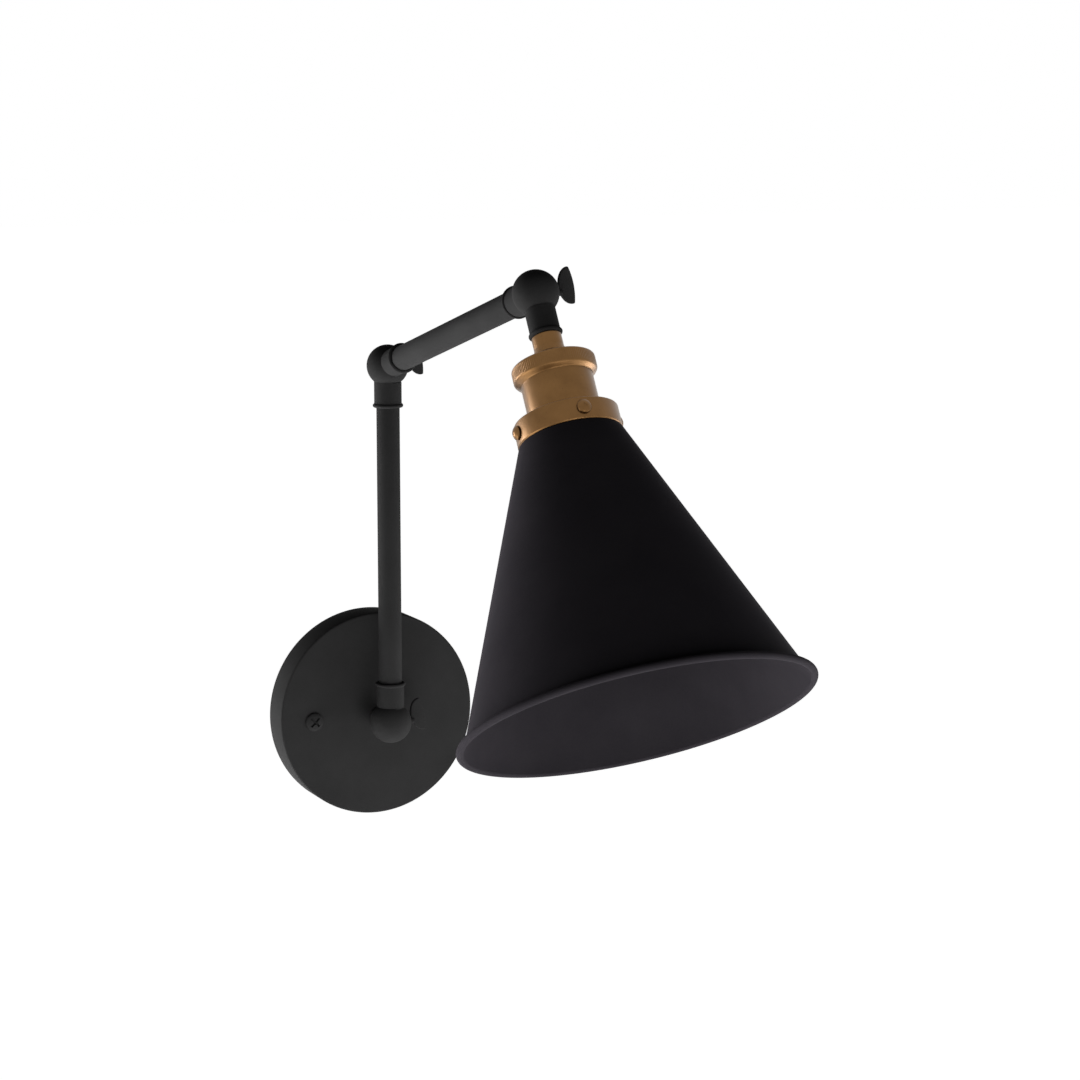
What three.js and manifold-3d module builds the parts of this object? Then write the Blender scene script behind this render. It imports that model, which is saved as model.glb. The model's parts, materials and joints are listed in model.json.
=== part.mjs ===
// Swing arm wall sconce: a round wall plate, two tube arms on three ball knuckles,
// a brass lamp socket and a conical metal shade.
//
// Millimetres, +Z up. The wall is the plane y = 0 and the sconce reaches out along -Y.
// The origin is the centre of the wall plate, on the wall.
import * as THREE from "three";
import { mergeVertices } from "three/addons/utils/BufferGeometryUtils.js";
import Module from "manifold-3d";

const wasm = await Module();
wasm.setup();

// ---------------------------------------------------------------- driving sizes (mm)
const CLEARANCE = 0.3; // between pieces that touch or pass through each other
const EPS = 0.5; // how far a cutting tool reaches past the face it cuts

// Wall plate
const PLATE_RADIUS = 63.5;
const PLATE_DEPTH = 20.6;
const PLATE_WALL = 1.2;
const PLATE_EDGE_ROUND = 1.2;
const HUB_DROP = 1.4; // arm axis and screw line below the plate's centre
const PLATE_SCREW_REACH = 42.2; // plate screw from the arm axis
const PLATE_SCREW_HEAD_RADIUS = 5.7;
const PLATE_SCREW_HEAD_HEIGHT = 2.6;
const PLATE_SCREW_RADIUS = 2.0;
const PLATE_SCREW_PROUD = 1.75; // past the bracket's ear

// Wall bracket: a cross of flat bar, with a screw ear and a hook
const BRACKET_WIDTH = 19;
const BRACKET_THICKNESS = 2;
const EAR_EDGE = 7.8; // plate screw to the bracket's end
const BRACKET_HALF_SPAN = PLATE_SCREW_REACH + EAR_EDGE;
const BOX_SCREW_SPACING = 88.9;
const BOX_SLOT_WIDTH = 4.6;
const BOX_SLOT_LENGTH = 10;
const EAR_GAP = 6.4; // ear and hook behind the plate's inner face
const EAR_HEIGHT = PLATE_DEPTH - PLATE_WALL - EAR_GAP;
const EAR_LENGTH = 12;
const HOOK_OVERLAP = 2.7; // hook over the plate's lug
const LUG_WIDTH = 10;
const LUG_LENGTH = 9;
const LUG_THICKNESS = 2;
const GROUND_SCREW_REACH = 24;
const GROUND_SCREW_HEAD_RADIUS = 3.4;
const GROUND_SCREW_HEAD_HEIGHT = 1.8;
const GROUND_SCREW_RADIUS = 1.6;

// Knuckles
const BALL_RADIUS = 12.65;
const BALL_WALL = 2.1;
const BALL_SPLIT = 0.3; // gap between the two halves of a ball
const BALL_TO_PLATE = 21.2; // ball centre to the plate's face
const BALL_STANDOFF = PLATE_DEPTH + BALL_TO_PLATE;
const HUB_RADIUS = 5;
const WASHER_THICKNESS = 0.7;
const COLLAR_RADIUS = 8.3;
const COLLAR_LENGTH = 22.9; // ball centre to the start of the lip
const LIP_RADIUS = 9.2;
const LIP_WIDTH = 2.4;
const TUBE_SEAT = 14; // ball centre to the end of the tube
const CABLE_BORE_RADIUS = 4.6;
const SWEEP_CLEARANCE = 0.45; // between a collar and the half ball that turns under it
const NECK_RADIUS = 5.6; // between the plate and its ball

// Wing screws
const WING_SCREW_RADIUS = 2.0;
const WING_SCREW_DEPTH = 9.4; // how far the shank passes the ball's centre
const WING_INNER = 13.1; // ball centre to the near edge of the wing
const WING_DEPTH = 9.2; // near edge to outer edge
const WING_BULGE = 1.4; // rise of the outer edge's curve
const WING_HALF_WIDTH = 10.2;
const WING_OFFSET = 3.2; // wing's middle from the screw's axis
const WING_THICKNESS = 2.2;
const WING_TIP_ROUND = 0.9;
const WING_TILT = 12.5; // degrees from square to the screw's axis, in the wing's plane

// Arms
const LOWER_ARM_LENGTH = 219.8; // between ball centres
const LOWER_TUBE_RADIUS = 7.03;
const UPPER_ARM_LENGTH = 213.9;
const UPPER_TUBE_RADIUS = 7.46;
const UPPER_ARM_RISE = 15.1; // degrees above level
const TUBE_WALL = 1;
const CABLE_RADIUS = 2.3;
const CABLE_START = 14.5; // ball centre to the end of an arm's cable

// Threaded stud through the plate, head nipple, nuts and washers
const STUD_RADIUS = 4.5;
const STUD_BORE_RADIUS = 3;
const STUD_PROUD = 6.2; // past its locknut, to the open end
const NIPPLE_RADIUS = 5;
const NIPPLE_BORE_RADIUS = 3.4;
const LOCKNUT_ACROSS_FLATS = 15;
const LOCKNUT_HEIGHT = 3;
const FLAT_WASHER_RADIUS = 10;
const FLAT_WASHER_THICKNESS = 1;
const TOOTH_WASHER_RADIUS = 8.2;
const TOOTH_DEPTH = 1.2;
const TOOTH_WASHER_THICKNESS = 0.8;
const TOOTH_COUNT = 12;
const FLAT_WASHER_FROM = PLATE_DEPTH - PLATE_WALL - CLEARANCE - FLAT_WASHER_THICKNESS;
const TOOTH_WASHER_FROM = FLAT_WASHER_FROM - CLEARANCE - TOOTH_WASHER_THICKNESS;
const SWIVEL_NUT_FROM = TOOTH_WASHER_FROM - CLEARANCE - LOCKNUT_HEIGHT;
const STUD_WALL_END = SWIVEL_NUT_FROM - STUD_PROUD; // from the wall

// Leads and wire connectors behind the plate
const LEAD_RADIUS = 0.9;
const LEAD_SPREAD = 1.3; // leads from the axis of the bore they share
const LEAD_START = 9; // how far a plate lead reaches into the stud
const LEAD_BEND = 3; // drop of a plate lead as it leaves the stud
const LEAD_RISE = 6; // last bend of a plate lead above its connector
const CONNECTOR_RADIUS = 5;
const CONNECTOR_TIP_RADIUS = 3.2;
const CONNECTOR_LENGTH = 15;
const CONNECTOR_DEPTH = (PLATE_DEPTH - PLATE_WALL) / 2; // wall to the connector's axis
const CONNECTOR_SPACING = 19;
const CONNECTOR_TOP = -21; // mouth of a connector, below the plate's centre

// Lamp head: lengths lie along its own axis, which starts at the head ball's centre
const HEAD_TILT = 29.9; // degrees outward from straight down
const NECK_END_RADIUS = 8.05; // brass neck under the head collar
const NECK_LENGTH = 6.8;
const FLARE_LENGTH = 5;
const FLARE_WIDTH = 4.15; // how far the flare widens past the neck
const FLARE_LIP_LENGTH = 2.6; // steep cone at the start of the flare
const FLARE_LIP_WIDTH = 0.55;
const SHOULDER_LENGTH = 3.5;
const CAP_WALL = 1.5;
const CAP_SKIRT_WALL = 0.8;
const CAP_SKIRT_LENGTH = 7.1;
const CAP_SEAT_DEPTH = 4.2; // end of the neck to the flat that the head locknut presses on
const CAP_SEAT_RADIUS = 9.5;
const NIPPLE_PROUD = 4; // nipple past the locknut's flat
const KNURL_WALL = 1.8;
const KNURL_GAP = 0.4; // shoulder's end to the knurled ring
const KNURL_FOOT = 1.3;
const KNURL_EDGE_ROUND = 1.3;
const KNURL_BASE_DISH = 1.7; // inner edge of the underside below its outer edge
const SHELL_RADIUS = 19.3;
const SHELL_WALL = 0.8;
const SHELL_INSET = 2.1; // shoulder's end to the shell's end inside the cap
const SHELL_LENGTH = 49;
const INSULATOR_INSET = 4.5; // shell's upper end to the insulator
const INSULATOR_SOLID = 8.5; // solid part above the bore
const INSULATOR_RECESS = 2; // insulator's lower end inside the shell
const INSULATOR_BORE_GAP = 0.4; // round the screw shell
const SCREW_SHELL_RADIUS = 13.8; // outside of a thread crest
const SCREW_SHELL_WALL = 0.45;
const SCREW_SHELL_RECESS = 3; // screw shell's lower end inside the insulator
const THREAD_DEPTH = 0.75;
const THREAD_PITCH = 3.63;
const THREAD_TURNS = 6;
const CONTACT_RADIUS = 4;
const CONTACT_THICKNESS = 0.8;
const CONTACT_STEM_RADIUS = 1.2;
const CONTACT_STEM_PROUD = 1;
const TERMINAL_REACH = 10.5;
const TERMINAL_HEAD_RADIUS = 2.6;
const TERMINAL_HEAD_HEIGHT = 1.3;
const TERMINAL_SHANK_RADIUS = 1.3;
const TERMINAL_LENGTH = 4;
const LEAD_TAIL = 1; // lead past the middle of a terminal screw
const FITTER_PLACE = 29.4; // shell's upper end to the fitter ring
const FITTER_FLANGE = 8.65; // fitter ring past the shell
const FITTER_LENGTH = 12.2;
const FITTER_WALL = 1.35;
const FITTER_EDGE_ROUND = 0.9;
const RING_NUT_WIDTH = 3.5;
const RING_NUT_HEIGHT = 4.5;

// Shade and its screws
const SHADE_WALL = 0.8;
const SHADE_COLLAR_DEPTH = 3.2; // top of the ring to the top of the shade's collar
const SHADE_STEP = 0.15; // shade's top inside the ring's outline
const SHADE_LENGTH = 154.4; // ring's lower edge to the rolled rim's lowest point
const SHADE_RIM_RADIUS = 93.35; // outside of the rolled rim
const SHADE_BEAD_RADIUS = 1.9;
const SHADE_SCREW_DEPTH = 5.9; // top of the ring to the screws
const SHADE_SCREW_COUNT = 4;
const SHADE_SCREW_TURN = 6; // degrees of the first screw from the knuckle's axis
const SHADE_SCREW_HEAD_RADIUS = 3.9;
const SHADE_SCREW_HEAD_HEIGHT = 2.7;
const SHADE_SCREW_RADIUS = 1.6;
const SHADE_SCREW_LENGTH = 4.5; // under the head

// Facets around each kind of round piece
const FACETS_BALL = 16;
const FACETS_TUBE = 20;
const FACETS_SOCKET = 32;
const FACETS_SHADE = 44;
const FACETS_PLATE = 44;
const FACETS_SMALL = 10;
const FACETS_LEAD = 6;

// ---------------------------------------------------------------- finishes
const finish = (color, roughness, metalness) =>
  new THREE.MeshStandardMaterial({ color, roughness, metalness });
const BLACK = finish(0x2b2b2c, 0.6, 0.1);
const BRASS = finish(0x8a6239, 0.35, 1);
const STEEL = finish(0x9a9c9e, 0.4, 1);
const PORCELAIN = finish(0xe9e5da, 0.35, 0);
const FIBRE = finish(0x7a2f22, 0.8, 0);
const GREEN = finish(0x2f7d43, 0.45, 0.2);
const ORANGE = finish(0xd9782b, 0.5, 0);
const INSULATION_BLACK = finish(0x1c1c1c, 0.5, 0);
const INSULATION_WHITE = finish(0xdad8d2, 0.5, 0);

// ---------------------------------------------------------------- helpers
const radians = THREE.MathUtils.degToRad;

/** A closed three.js geometry as a manifold solid, faces turned outward. */
function solid(geometry) {
  const plain = geometry.index ? geometry.clone() : geometry;
  for (const attribute of ["normal", "uv"]) {
    plain.deleteAttribute(attribute);
  }
  const merged = mergeVertices(plain, 1e-4);
  const triangles = Uint32Array.from(merged.index.array);
  const points = Float32Array.from(merged.attributes.position.array);
  if (signedVolume(points, triangles) < 0) {
    for (let i = 0; i < triangles.length; i += 3) {
      [triangles[i], triangles[i + 1]] = [triangles[i + 1], triangles[i]];
    }
  }
  return new wasm.Manifold(new wasm.Mesh({ numProp: 3, vertProperties: points, triVerts: triangles }));
}

/** Six times the volume inside a triangle mesh, negative if its faces point in. */
function signedVolume(points, triangles) {
  const corner = (i) => new THREE.Vector3().fromArray(points, 3 * triangles[i]);
  let total = 0;
  for (let i = 0; i < triangles.length; i += 3) {
    total += corner(i).dot(corner(i + 1).cross(corner(i + 2)));
  }
  return total;
}

/** A named mesh of a manifold solid. */
function piece(name, body, material) {
  const { vertProperties, triVerts } = body.getMesh();
  const geometry = new THREE.BufferGeometry();
  geometry.setAttribute("position", new THREE.BufferAttribute(vertProperties, 3));
  geometry.setIndex(new THREE.BufferAttribute(triVerts, 1));
  geometry.computeVertexNormals();
  const mesh = new THREE.Mesh(geometry, material);
  mesh.name = name;
  return mesh;
}

/** A body turned about +Z from [radius, height] points that close on themselves or on the axis. */
function turned(profile, facets) {
  const [first, last] = [profile[0], profile[profile.length - 1]];
  const onAxis = first[0] === 0 && last[0] === 0;
  const points = (onAxis ? profile : [...profile, first]).map(([r, z]) => new THREE.Vector2(r, z));
  return solid(new THREE.LatheGeometry(points, facets).rotateX(Math.PI / 2));
}

/** Points of an arc in a [radius, height] profile, from one angle to another in degrees. */
function arc(radius, height, size, from, to, steps) {
  return Array.from({ length: steps + 1 }, (_, i) => {
    const angle = radians(from + ((to - from) * i) / steps);
    return [radius + size * Math.cos(angle), height + size * Math.sin(angle)];
  });
}

/** A solid or hollow round bar about +Z. */
function bar(radius, from, to, facets, bore = 0) {
  return turned([[bore, from], [radius, from], [radius, to], [bore, to]], facets);
}

/** A box between two opposite corners. */
function block([x0, y0, z0], [x1, y1, z1]) {
  const box = new THREE.BoxGeometry(x1 - x0, y1 - y0, z1 - z0);
  return solid(box.translate((x0 + x1) / 2, (y0 + y1) / 2, (z0 + z1) / 2));
}

/** A flat outline pushed up +Z from one height to another. */
function slab(shape, from, to) {
  const options = { depth: to - from, curveSegments: FACETS_LEAD, bevelEnabled: false };
  const geometry = new THREE.ExtrudeGeometry(shape, options);
  return solid(geometry.translate(0, 0, from));
}

/** The same body placed by a three.js matrix. */
function placed(body, { at = [0, 0, 0], turn = [0, 0, 0] }) {
  const matrix = new THREE.Matrix4().makeRotationFromEuler(new THREE.Euler(...turn.map(radians)));
  matrix.setPosition(...at);
  return body.transform(matrix.toArray());
}

/** Everything in a list joined into one body. */
const joined = (bodies) => bodies.reduce((whole, next) => whole.add(next));

/** A group at a place, turned by degrees about its own X axis. */
function frameAt(at, turnX = 0) {
  const group = new THREE.Group();
  group.position.set(...at);
  group.rotation.x = radians(turnX);
  return group;
}

/** A domed cross-recess screw along +Z: the head stands on z = 0 and the shank hangs below it. */
function domedScrew({ headRadius, headHeight, radius, length }) {
  const dome = [[0, headHeight]];
  const steps = 3;
  for (let i = 1; i <= steps; i += 1) {
    const angle = (Math.PI / 2) * (i / steps);
    dome.push([headRadius * Math.sin(angle), headHeight * (0.25 + 0.75 * Math.cos(angle))]);
  }
  const shank = [[headRadius, 0], [radius, 0], [radius, -length], [0, -length]];
  const whole = turned([...dome, ...shank], FACETS_SMALL);
  const slotHalf = headRadius * 0.72;
  const slotWidth = headRadius * 0.26;
  const slotFloor = headHeight * 0.42;
  const across = block([-slotHalf, -slotWidth / 2, slotFloor], [slotHalf, slotWidth / 2, headHeight + EPS]);
  const along = placed(across, { turn: [0, 0, 90] });
  return whole.subtract(placed(across.add(along), { turn: [0, 0, 45] }));
}

/** A round cord of one radius along a smooth curve through the given points. */
function cord(points, radius, steps) {
  const section = new THREE.Shape();
  section.absarc(0, 0, radius, 0, 2 * Math.PI);
  const path = new THREE.CatmullRomCurve3(points.map((p) => new THREE.Vector3(...p)));
  const options = { steps, curveSegments: FACETS_LEAD / 2, extrudePath: path, bevelEnabled: false };
  return solid(new THREE.ExtrudeGeometry(section, options));
}

// ---------------------------------------------------------------- knuckle
/**
 * Half of a split ball about its hinge axis X, with its pole at +X, a hub for the clamp
 * screw and a socket floor or a through hole at the pole.
 */
function halfBall(throughHole) {
  const hole = WING_SCREW_RADIUS + CLEARANCE;
  const inner = BALL_RADIUS - BALL_WALL;
  const split = BALL_SPLIT / 2;
  const hubFace = WASHER_THICKNESS / 2 + CLEARANCE;
  const outerSteps = 5;
  const innerSteps = 3;
  const poleAngle = throughHole ? (Math.asin(hole / BALL_RADIUS) * 180) / Math.PI : 0;
  const rimAngle = 90 - (Math.asin(split / BALL_RADIUS) * 180) / Math.PI;
  const innerRim = 90 - (Math.asin(split / inner) * 180) / Math.PI;
  const hubAngle = (Math.asin(HUB_RADIUS / inner) * 180) / Math.PI;
  const onSphere = (radius, degrees) => [
    radius * Math.sin(radians(degrees)), radius * Math.cos(radians(degrees)),
  ];
  const sweep = (radius, from, to, steps) =>
    Array.from({ length: steps + 1 }, (_, i) => onSphere(radius, from + ((to - from) * i) / steps));
  const outside = sweep(BALL_RADIUS, poleAngle, rimAngle, outerSteps);
  const inside = sweep(inner, innerRim, hubAngle, innerSteps);
  const hub = [[HUB_RADIUS, hubFace], [hole, hubFace]];
  const floor = WING_SCREW_DEPTH + CLEARANCE;
  const socket = throughHole ? [] : [[hole, floor], [0, floor]];
  if (!throughHole) {
    outside[0][0] = 0;
  }
  return placed(turned([...outside, ...inside, ...hub, ...socket], FACETS_BALL), { turn: [0, 90, 0] });
}

/**
 * One cast half of a knuckle: its half ball on the side given by sign, and a round collar
 * along +Z that stands clear of the other half as the knuckle turns.
 */
function knuckleHalf({ sign, radius, length, cableBore, boreRadius, seat, lip }) {
  const ball = sign > 0 ? halfBall(true) : placed(halfBall(false), { turn: [0, 180, 0] });
  const reach = BALL_RADIUS - BALL_WALL / 2;
  const start = Math.sqrt(reach ** 2 - radius ** 2);
  const bead = LIP_WIDTH / 2;
  const beadArc = arc(LIP_RADIUS - bead, length + bead, bead, -60, 90, 3);
  const rim = lip ? [[radius, length], ...beadArc] : [[radius, length]];
  const end = rim[rim.length - 1][1];
  const wall = turned([[cableBore, start], [radius, start], ...rim, [cableBore, end]], FACETS_BALL);
  const far = 2 * BALL_RADIUS;
  const split = (sign * BALL_SPLIT) / 2;
  const otherSide = sign > 0
    ? block([-far, -far, -far], [split, far, 2 * far])
    : block([split, -far, -far], [far, far, 2 * far]);
  const sweepFacets = FACETS_BALL + 4;
  const sweep = solid(new THREE.SphereGeometry(BALL_RADIUS + SWEEP_CLEARANCE, sweepFacets, sweepFacets / 2));
  const collar = wall.subtract(otherSide.intersect(sweep));
  const cableHole = bar(cableBore, start - BALL_WALL, end + EPS, FACETS_SMALL);
  const socket = bar(boreRadius, seat, end + EPS, FACETS_TUBE);
  return ball.add(collar).subtract(cableHole).subtract(socket);
}

/** The fibre washer that the two hubs of a knuckle press on. */
const frictionWasher = () =>
  placed(
    bar(HUB_RADIUS, -WASHER_THICKNESS / 2, WASHER_THICKNESS / 2, FACETS_BALL, WING_SCREW_RADIUS + CLEARANCE),
    { turn: [0, 90, 0] },
  );

/** Half-moon outline of a wing about its own middle, with the ball towards -X. */
function wingOutline() {
  const curve = (WING_HALF_WIDTH ** 2 + WING_BULGE ** 2) / (2 * WING_BULGE);
  const curveX = WING_DEPTH / 2 - curve;
  const tipY = WING_HALF_WIDTH - WING_TIP_ROUND;
  const tipX = curveX + Math.sqrt((curve - WING_TIP_ROUND) ** 2 - tipY ** 2);
  const open = Math.atan2(tipY, tipX - curveX);
  const shape = new THREE.Shape();
  shape.absarc(curveX, 0, curve, -open, open);
  shape.absarc(tipX, tipY, WING_TIP_ROUND, open, Math.PI / 2);
  shape.absellipse(tipX, 0, tipX + WING_DEPTH / 2, WING_HALF_WIDTH, Math.PI / 2, 1.5 * Math.PI);
  shape.absarc(tipX, -tipY, WING_TIP_ROUND, -Math.PI / 2, -open);
  return shape;
}

/** A thumb screw on the knuckle's axis: a shank and an off-centre, tilted wing at +X. */
function wingScrew() {
  const bevel = 0.5;
  const wing = new THREE.ExtrudeGeometry(wingOutline(), {
    depth: WING_THICKNESS - 2 * bevel, curveSegments: 7,
    bevelThickness: bevel, bevelSize: bevel, bevelOffset: -bevel, bevelSegments: 1,
  });
  wing.rotateZ(THREE.MathUtils.degToRad(WING_TILT));
  wing.translate(WING_INNER + WING_DEPTH / 2, WING_OFFSET, bevel - WING_THICKNESS / 2);
  const upright = placed(solid(wing), { turn: [90, 0, 0] });
  const shankEnd = WING_INNER + WING_SCREW_RADIUS;
  const shankBar = bar(WING_SCREW_RADIUS, -WING_SCREW_DEPTH, shankEnd, FACETS_SMALL);
  const shank = placed(shankBar, { turn: [0, 90, 0] });
  return upright.add(shank);
}

// ---------------------------------------------------------------- wall plate
// These pieces are drawn with +Z away from the wall and turned into place together.

/** Round dish that covers the outlet box, with a lug inside that the bracket's hook holds. */
function backplate() {
  const inner = PLATE_RADIUS - PLATE_WALL;
  const face = PLATE_DEPTH - PLATE_WALL;
  const round = PLATE_EDGE_ROUND;
  const dish = turned(
    [
      [0, PLATE_DEPTH],
      ...arc(PLATE_RADIUS - round, PLATE_DEPTH - round, round, 90, 0, 3),
      [PLATE_RADIUS, 0],
      [inner, 0],
      [inner, face],
      [0, face],
    ],
    FACETS_PLATE,
  );
  const lugTop = EAR_HEIGHT - BRACKET_THICKNESS - CLEARANCE;
  const lug = block(
    [inner - LUG_LENGTH, -LUG_WIDTH / 2, lugTop - LUG_THICKNESS],
    [inner + PLATE_WALL / 2, LUG_WIDTH / 2, lugTop],
  );
  const studHole = placed(
    bar(STUD_RADIUS + CLEARANCE, face - EPS, PLATE_DEPTH + EPS, FACETS_TUBE),
    { at: [0, -HUB_DROP, 0] },
  );
  const screwHole = placed(
    bar(PLATE_SCREW_RADIUS + CLEARANCE, face - EPS, PLATE_DEPTH + EPS, FACETS_SMALL),
    { at: [-PLATE_SCREW_REACH, -HUB_DROP, 0] },
  );
  return dish.add(lug).subtract(studHole).subtract(screwHole);
}

/** Cross of flat bar against the wall: slots up and down, a screw ear left, a hook right. */
function wallBracket() {
  const half = BRACKET_WIDTH / 2;
  const span = BRACKET_HALF_SPAN;
  const thick = BRACKET_THICKNESS;
  const level = block([-span, -half, 0], [span, half, thick]);
  const upright = block([-half, -span, 0], [half, span, thick]);
  const riser = block([-span, -half, 0], [thick - span, half, EAR_HEIGHT]);
  const ear = block([-span, -half, EAR_HEIGHT - thick], [EAR_LENGTH - span, half, EAR_HEIGHT]);
  const hookRiser = block([span - thick, -half, 0], [span, half, EAR_HEIGHT]);
  const hookEnd = PLATE_RADIUS - PLATE_WALL - LUG_LENGTH + HOOK_OVERLAP;
  const hook = block([span - thick, -half, EAR_HEIGHT - thick], [hookEnd, half, EAR_HEIGHT]);
  const screwHole = placed(
    bar(PLATE_SCREW_RADIUS + CLEARANCE, EAR_HEIGHT - thick - EPS, EAR_HEIGHT + EPS, FACETS_SMALL),
    { at: [-PLATE_SCREW_REACH, -HUB_DROP, 0] },
  );
  const groundHole = placed(
    bar(GROUND_SCREW_RADIUS + CLEARANCE, -EPS, thick + EPS, FACETS_SMALL),
    { at: [GROUND_SCREW_REACH, 0, 0] },
  );
  const slots = [-1, 1].map((side) => slab(slotShape(side * BOX_SCREW_SPACING / 2), -EPS, thick + EPS));
  const cross = joined([level, upright, riser, ear, hookRiser, hook]);
  return [screwHole, groundHole, ...slots].reduce((whole, cut) => whole.subtract(cut), cross);
}

/** Outline of a box screw slot that runs across the upright bar. */
function slotShape(height) {
  const radius = BOX_SLOT_WIDTH / 2;
  const half = BOX_SLOT_LENGTH / 2 - radius;
  const shape = new THREE.Shape();
  shape.absarc(half, height, radius, -Math.PI / 2, Math.PI / 2);
  shape.absarc(-half, height, radius, Math.PI / 2, 1.5 * Math.PI);
  return shape;
}

/** A cone-shaped wire connector with its open mouth at z = 0, pointing down -Z. */
function wireConnector() {
  const bore = CONNECTOR_RADIUS - 1.4;
  return turned(
    [
      [CONNECTOR_RADIUS, 0],
      [CONNECTOR_RADIUS, -CONNECTOR_LENGTH * 0.4],
      [CONNECTOR_TIP_RADIUS, -CONNECTOR_LENGTH],
      [0, -CONNECTOR_LENGTH],
    ].concat([[0, -CONNECTOR_LENGTH * 0.7], [bore, -CONNECTOR_LENGTH * 0.4], [bore, 0]]),
    FACETS_SMALL,
  );
}

/** A lead from inside the stud's bore, out of its open end and down into a connector. */
function plateLead(column) {
  const angle = radians(-90 + 120 * column);
  const across = LEAD_SPREAD * Math.cos(angle);
  const up = LEAD_SPREAD * Math.sin(angle) - HUB_DROP;
  const mouth = column * CONNECTOR_SPACING;
  const points = [
    [across, up, STUD_WALL_END + LEAD_START],
    [across, up, STUD_WALL_END],
    [across + (column * LEAD_BEND) / 2, up - LEAD_BEND, STUD_WALL_END - LEAD_BEND],
    [mouth * 0.85, CONNECTOR_TOP + LEAD_RISE, CONNECTOR_DEPTH - LEAD_RADIUS],
    [mouth, CONNECTOR_TOP - CONNECTOR_LENGTH / 4, CONNECTOR_DEPTH],
  ];
  return cord(points, LEAD_RADIUS, 10);
}

/** Everything that stays on the wall. */
function wallPlate() {
  const group = frameAt([0, 0, 0], 90);
  group.add(piece("backplate", backplate(), BLACK));
  group.add(piece("wall_bracket", wallBracket(), STEEL));
  const screwSeat = PLATE_DEPTH + CLEARANCE / 2;
  const plateScrew = domedScrew({
    headRadius: PLATE_SCREW_HEAD_RADIUS, headHeight: PLATE_SCREW_HEAD_HEIGHT,
    radius: PLATE_SCREW_RADIUS, length: screwSeat - EAR_HEIGHT + BRACKET_THICKNESS + PLATE_SCREW_PROUD,
  });
  const screwAt = [-PLATE_SCREW_REACH, -HUB_DROP, screwSeat];
  group.add(piece("plate_screw", placed(plateScrew, { at: screwAt }), BLACK));
  const groundScrew = domedScrew({
    headRadius: GROUND_SCREW_HEAD_RADIUS, headHeight: GROUND_SCREW_HEAD_HEIGHT,
    radius: GROUND_SCREW_RADIUS, length: BRACKET_THICKNESS + CLEARANCE / 2,
  });
  const groundAt = [GROUND_SCREW_REACH, 0, BRACKET_THICKNESS + CLEARANCE];
  group.add(piece("ground_screw", placed(groundScrew, { at: groundAt }), GREEN));
  const columns = [
    { name: "hot", column: -1, cap: ORANGE, insulation: INSULATION_BLACK },
    { name: "neutral", column: 0, cap: ORANGE, insulation: INSULATION_WHITE },
    { name: "ground", column: 1, cap: GREEN, insulation: GREEN },
  ];
  for (const { name, column, cap, insulation } of columns) {
    const at = [column * CONNECTOR_SPACING, CONNECTOR_TOP, CONNECTOR_DEPTH];
    group.add(piece(`${name}_wire_connector`, placed(wireConnector(), { at, turn: [-90, 0, 0] }), cap));
    group.add(piece(`${name}_plate_lead`, plateLead(column), insulation));
  }
  return group;
}

// ---------------------------------------------------------------- base swivel
// Drawn with +Z away from the wall, on the arm axis.

/** Outline of a six-sided nut with a round hole. */
function nutShape(acrossFlats, hole) {
  const shape = new THREE.Shape();
  const corner = acrossFlats / 2 / Math.cos(Math.PI / 6);
  for (let i = 0; i < 6; i += 1) {
    const angle = (Math.PI / 3) * i;
    shape[i === 0 ? "moveTo" : "lineTo"](corner * Math.cos(angle), corner * Math.sin(angle));
  }
  const bore = new THREE.Path();
  bore.absarc(0, 0, hole, 0, 2 * Math.PI);
  shape.holes.push(bore);
  return shape;
}

/** A six-sided locknut between two heights. */
function locknut(boreRadius, from) {
  return slab(nutShape(LOCKNUT_ACROSS_FLATS, boreRadius + CLEARANCE), from, from + LOCKNUT_HEIGHT);
}

/** A washer with teeth all round. */
function toothWasher(boreRadius, from) {
  const shape = new THREE.Shape();
  for (let i = 0; i < 2 * TOOTH_COUNT; i += 1) {
    const angle = (Math.PI / TOOTH_COUNT) * i;
    const radius = TOOTH_WASHER_RADIUS - (i % 2) * TOOTH_DEPTH;
    shape[i === 0 ? "moveTo" : "lineTo"](radius * Math.cos(angle), radius * Math.sin(angle));
  }
  const bore = new THREE.Path();
  bore.absarc(0, 0, boreRadius + CLEARANCE, 0, 2 * Math.PI);
  shape.holes.push(bore);
  return slab(shape, from, from + TOOTH_WASHER_THICKNESS);
}

/** The wall half of the base knuckle: half ball, thin neck and the hollow threaded stud. */
function baseKnuckleWallHalf() {
  const neckLength = BALL_TO_PLATE - CLEARANCE;
  const half = knuckleHalf({
    sign: -1, radius: NECK_RADIUS, length: neckLength, lip: false,
    cableBore: STUD_BORE_RADIUS, boreRadius: STUD_BORE_RADIUS, seat: neckLength,
  });
  const stud = bar(STUD_RADIUS, neckLength - 1, BALL_STANDOFF - STUD_WALL_END, FACETS_TUBE, STUD_BORE_RADIUS);
  return placed(half.add(stud), { at: [0, 0, BALL_STANDOFF], turn: [180, 0, 0] });
}

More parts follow.
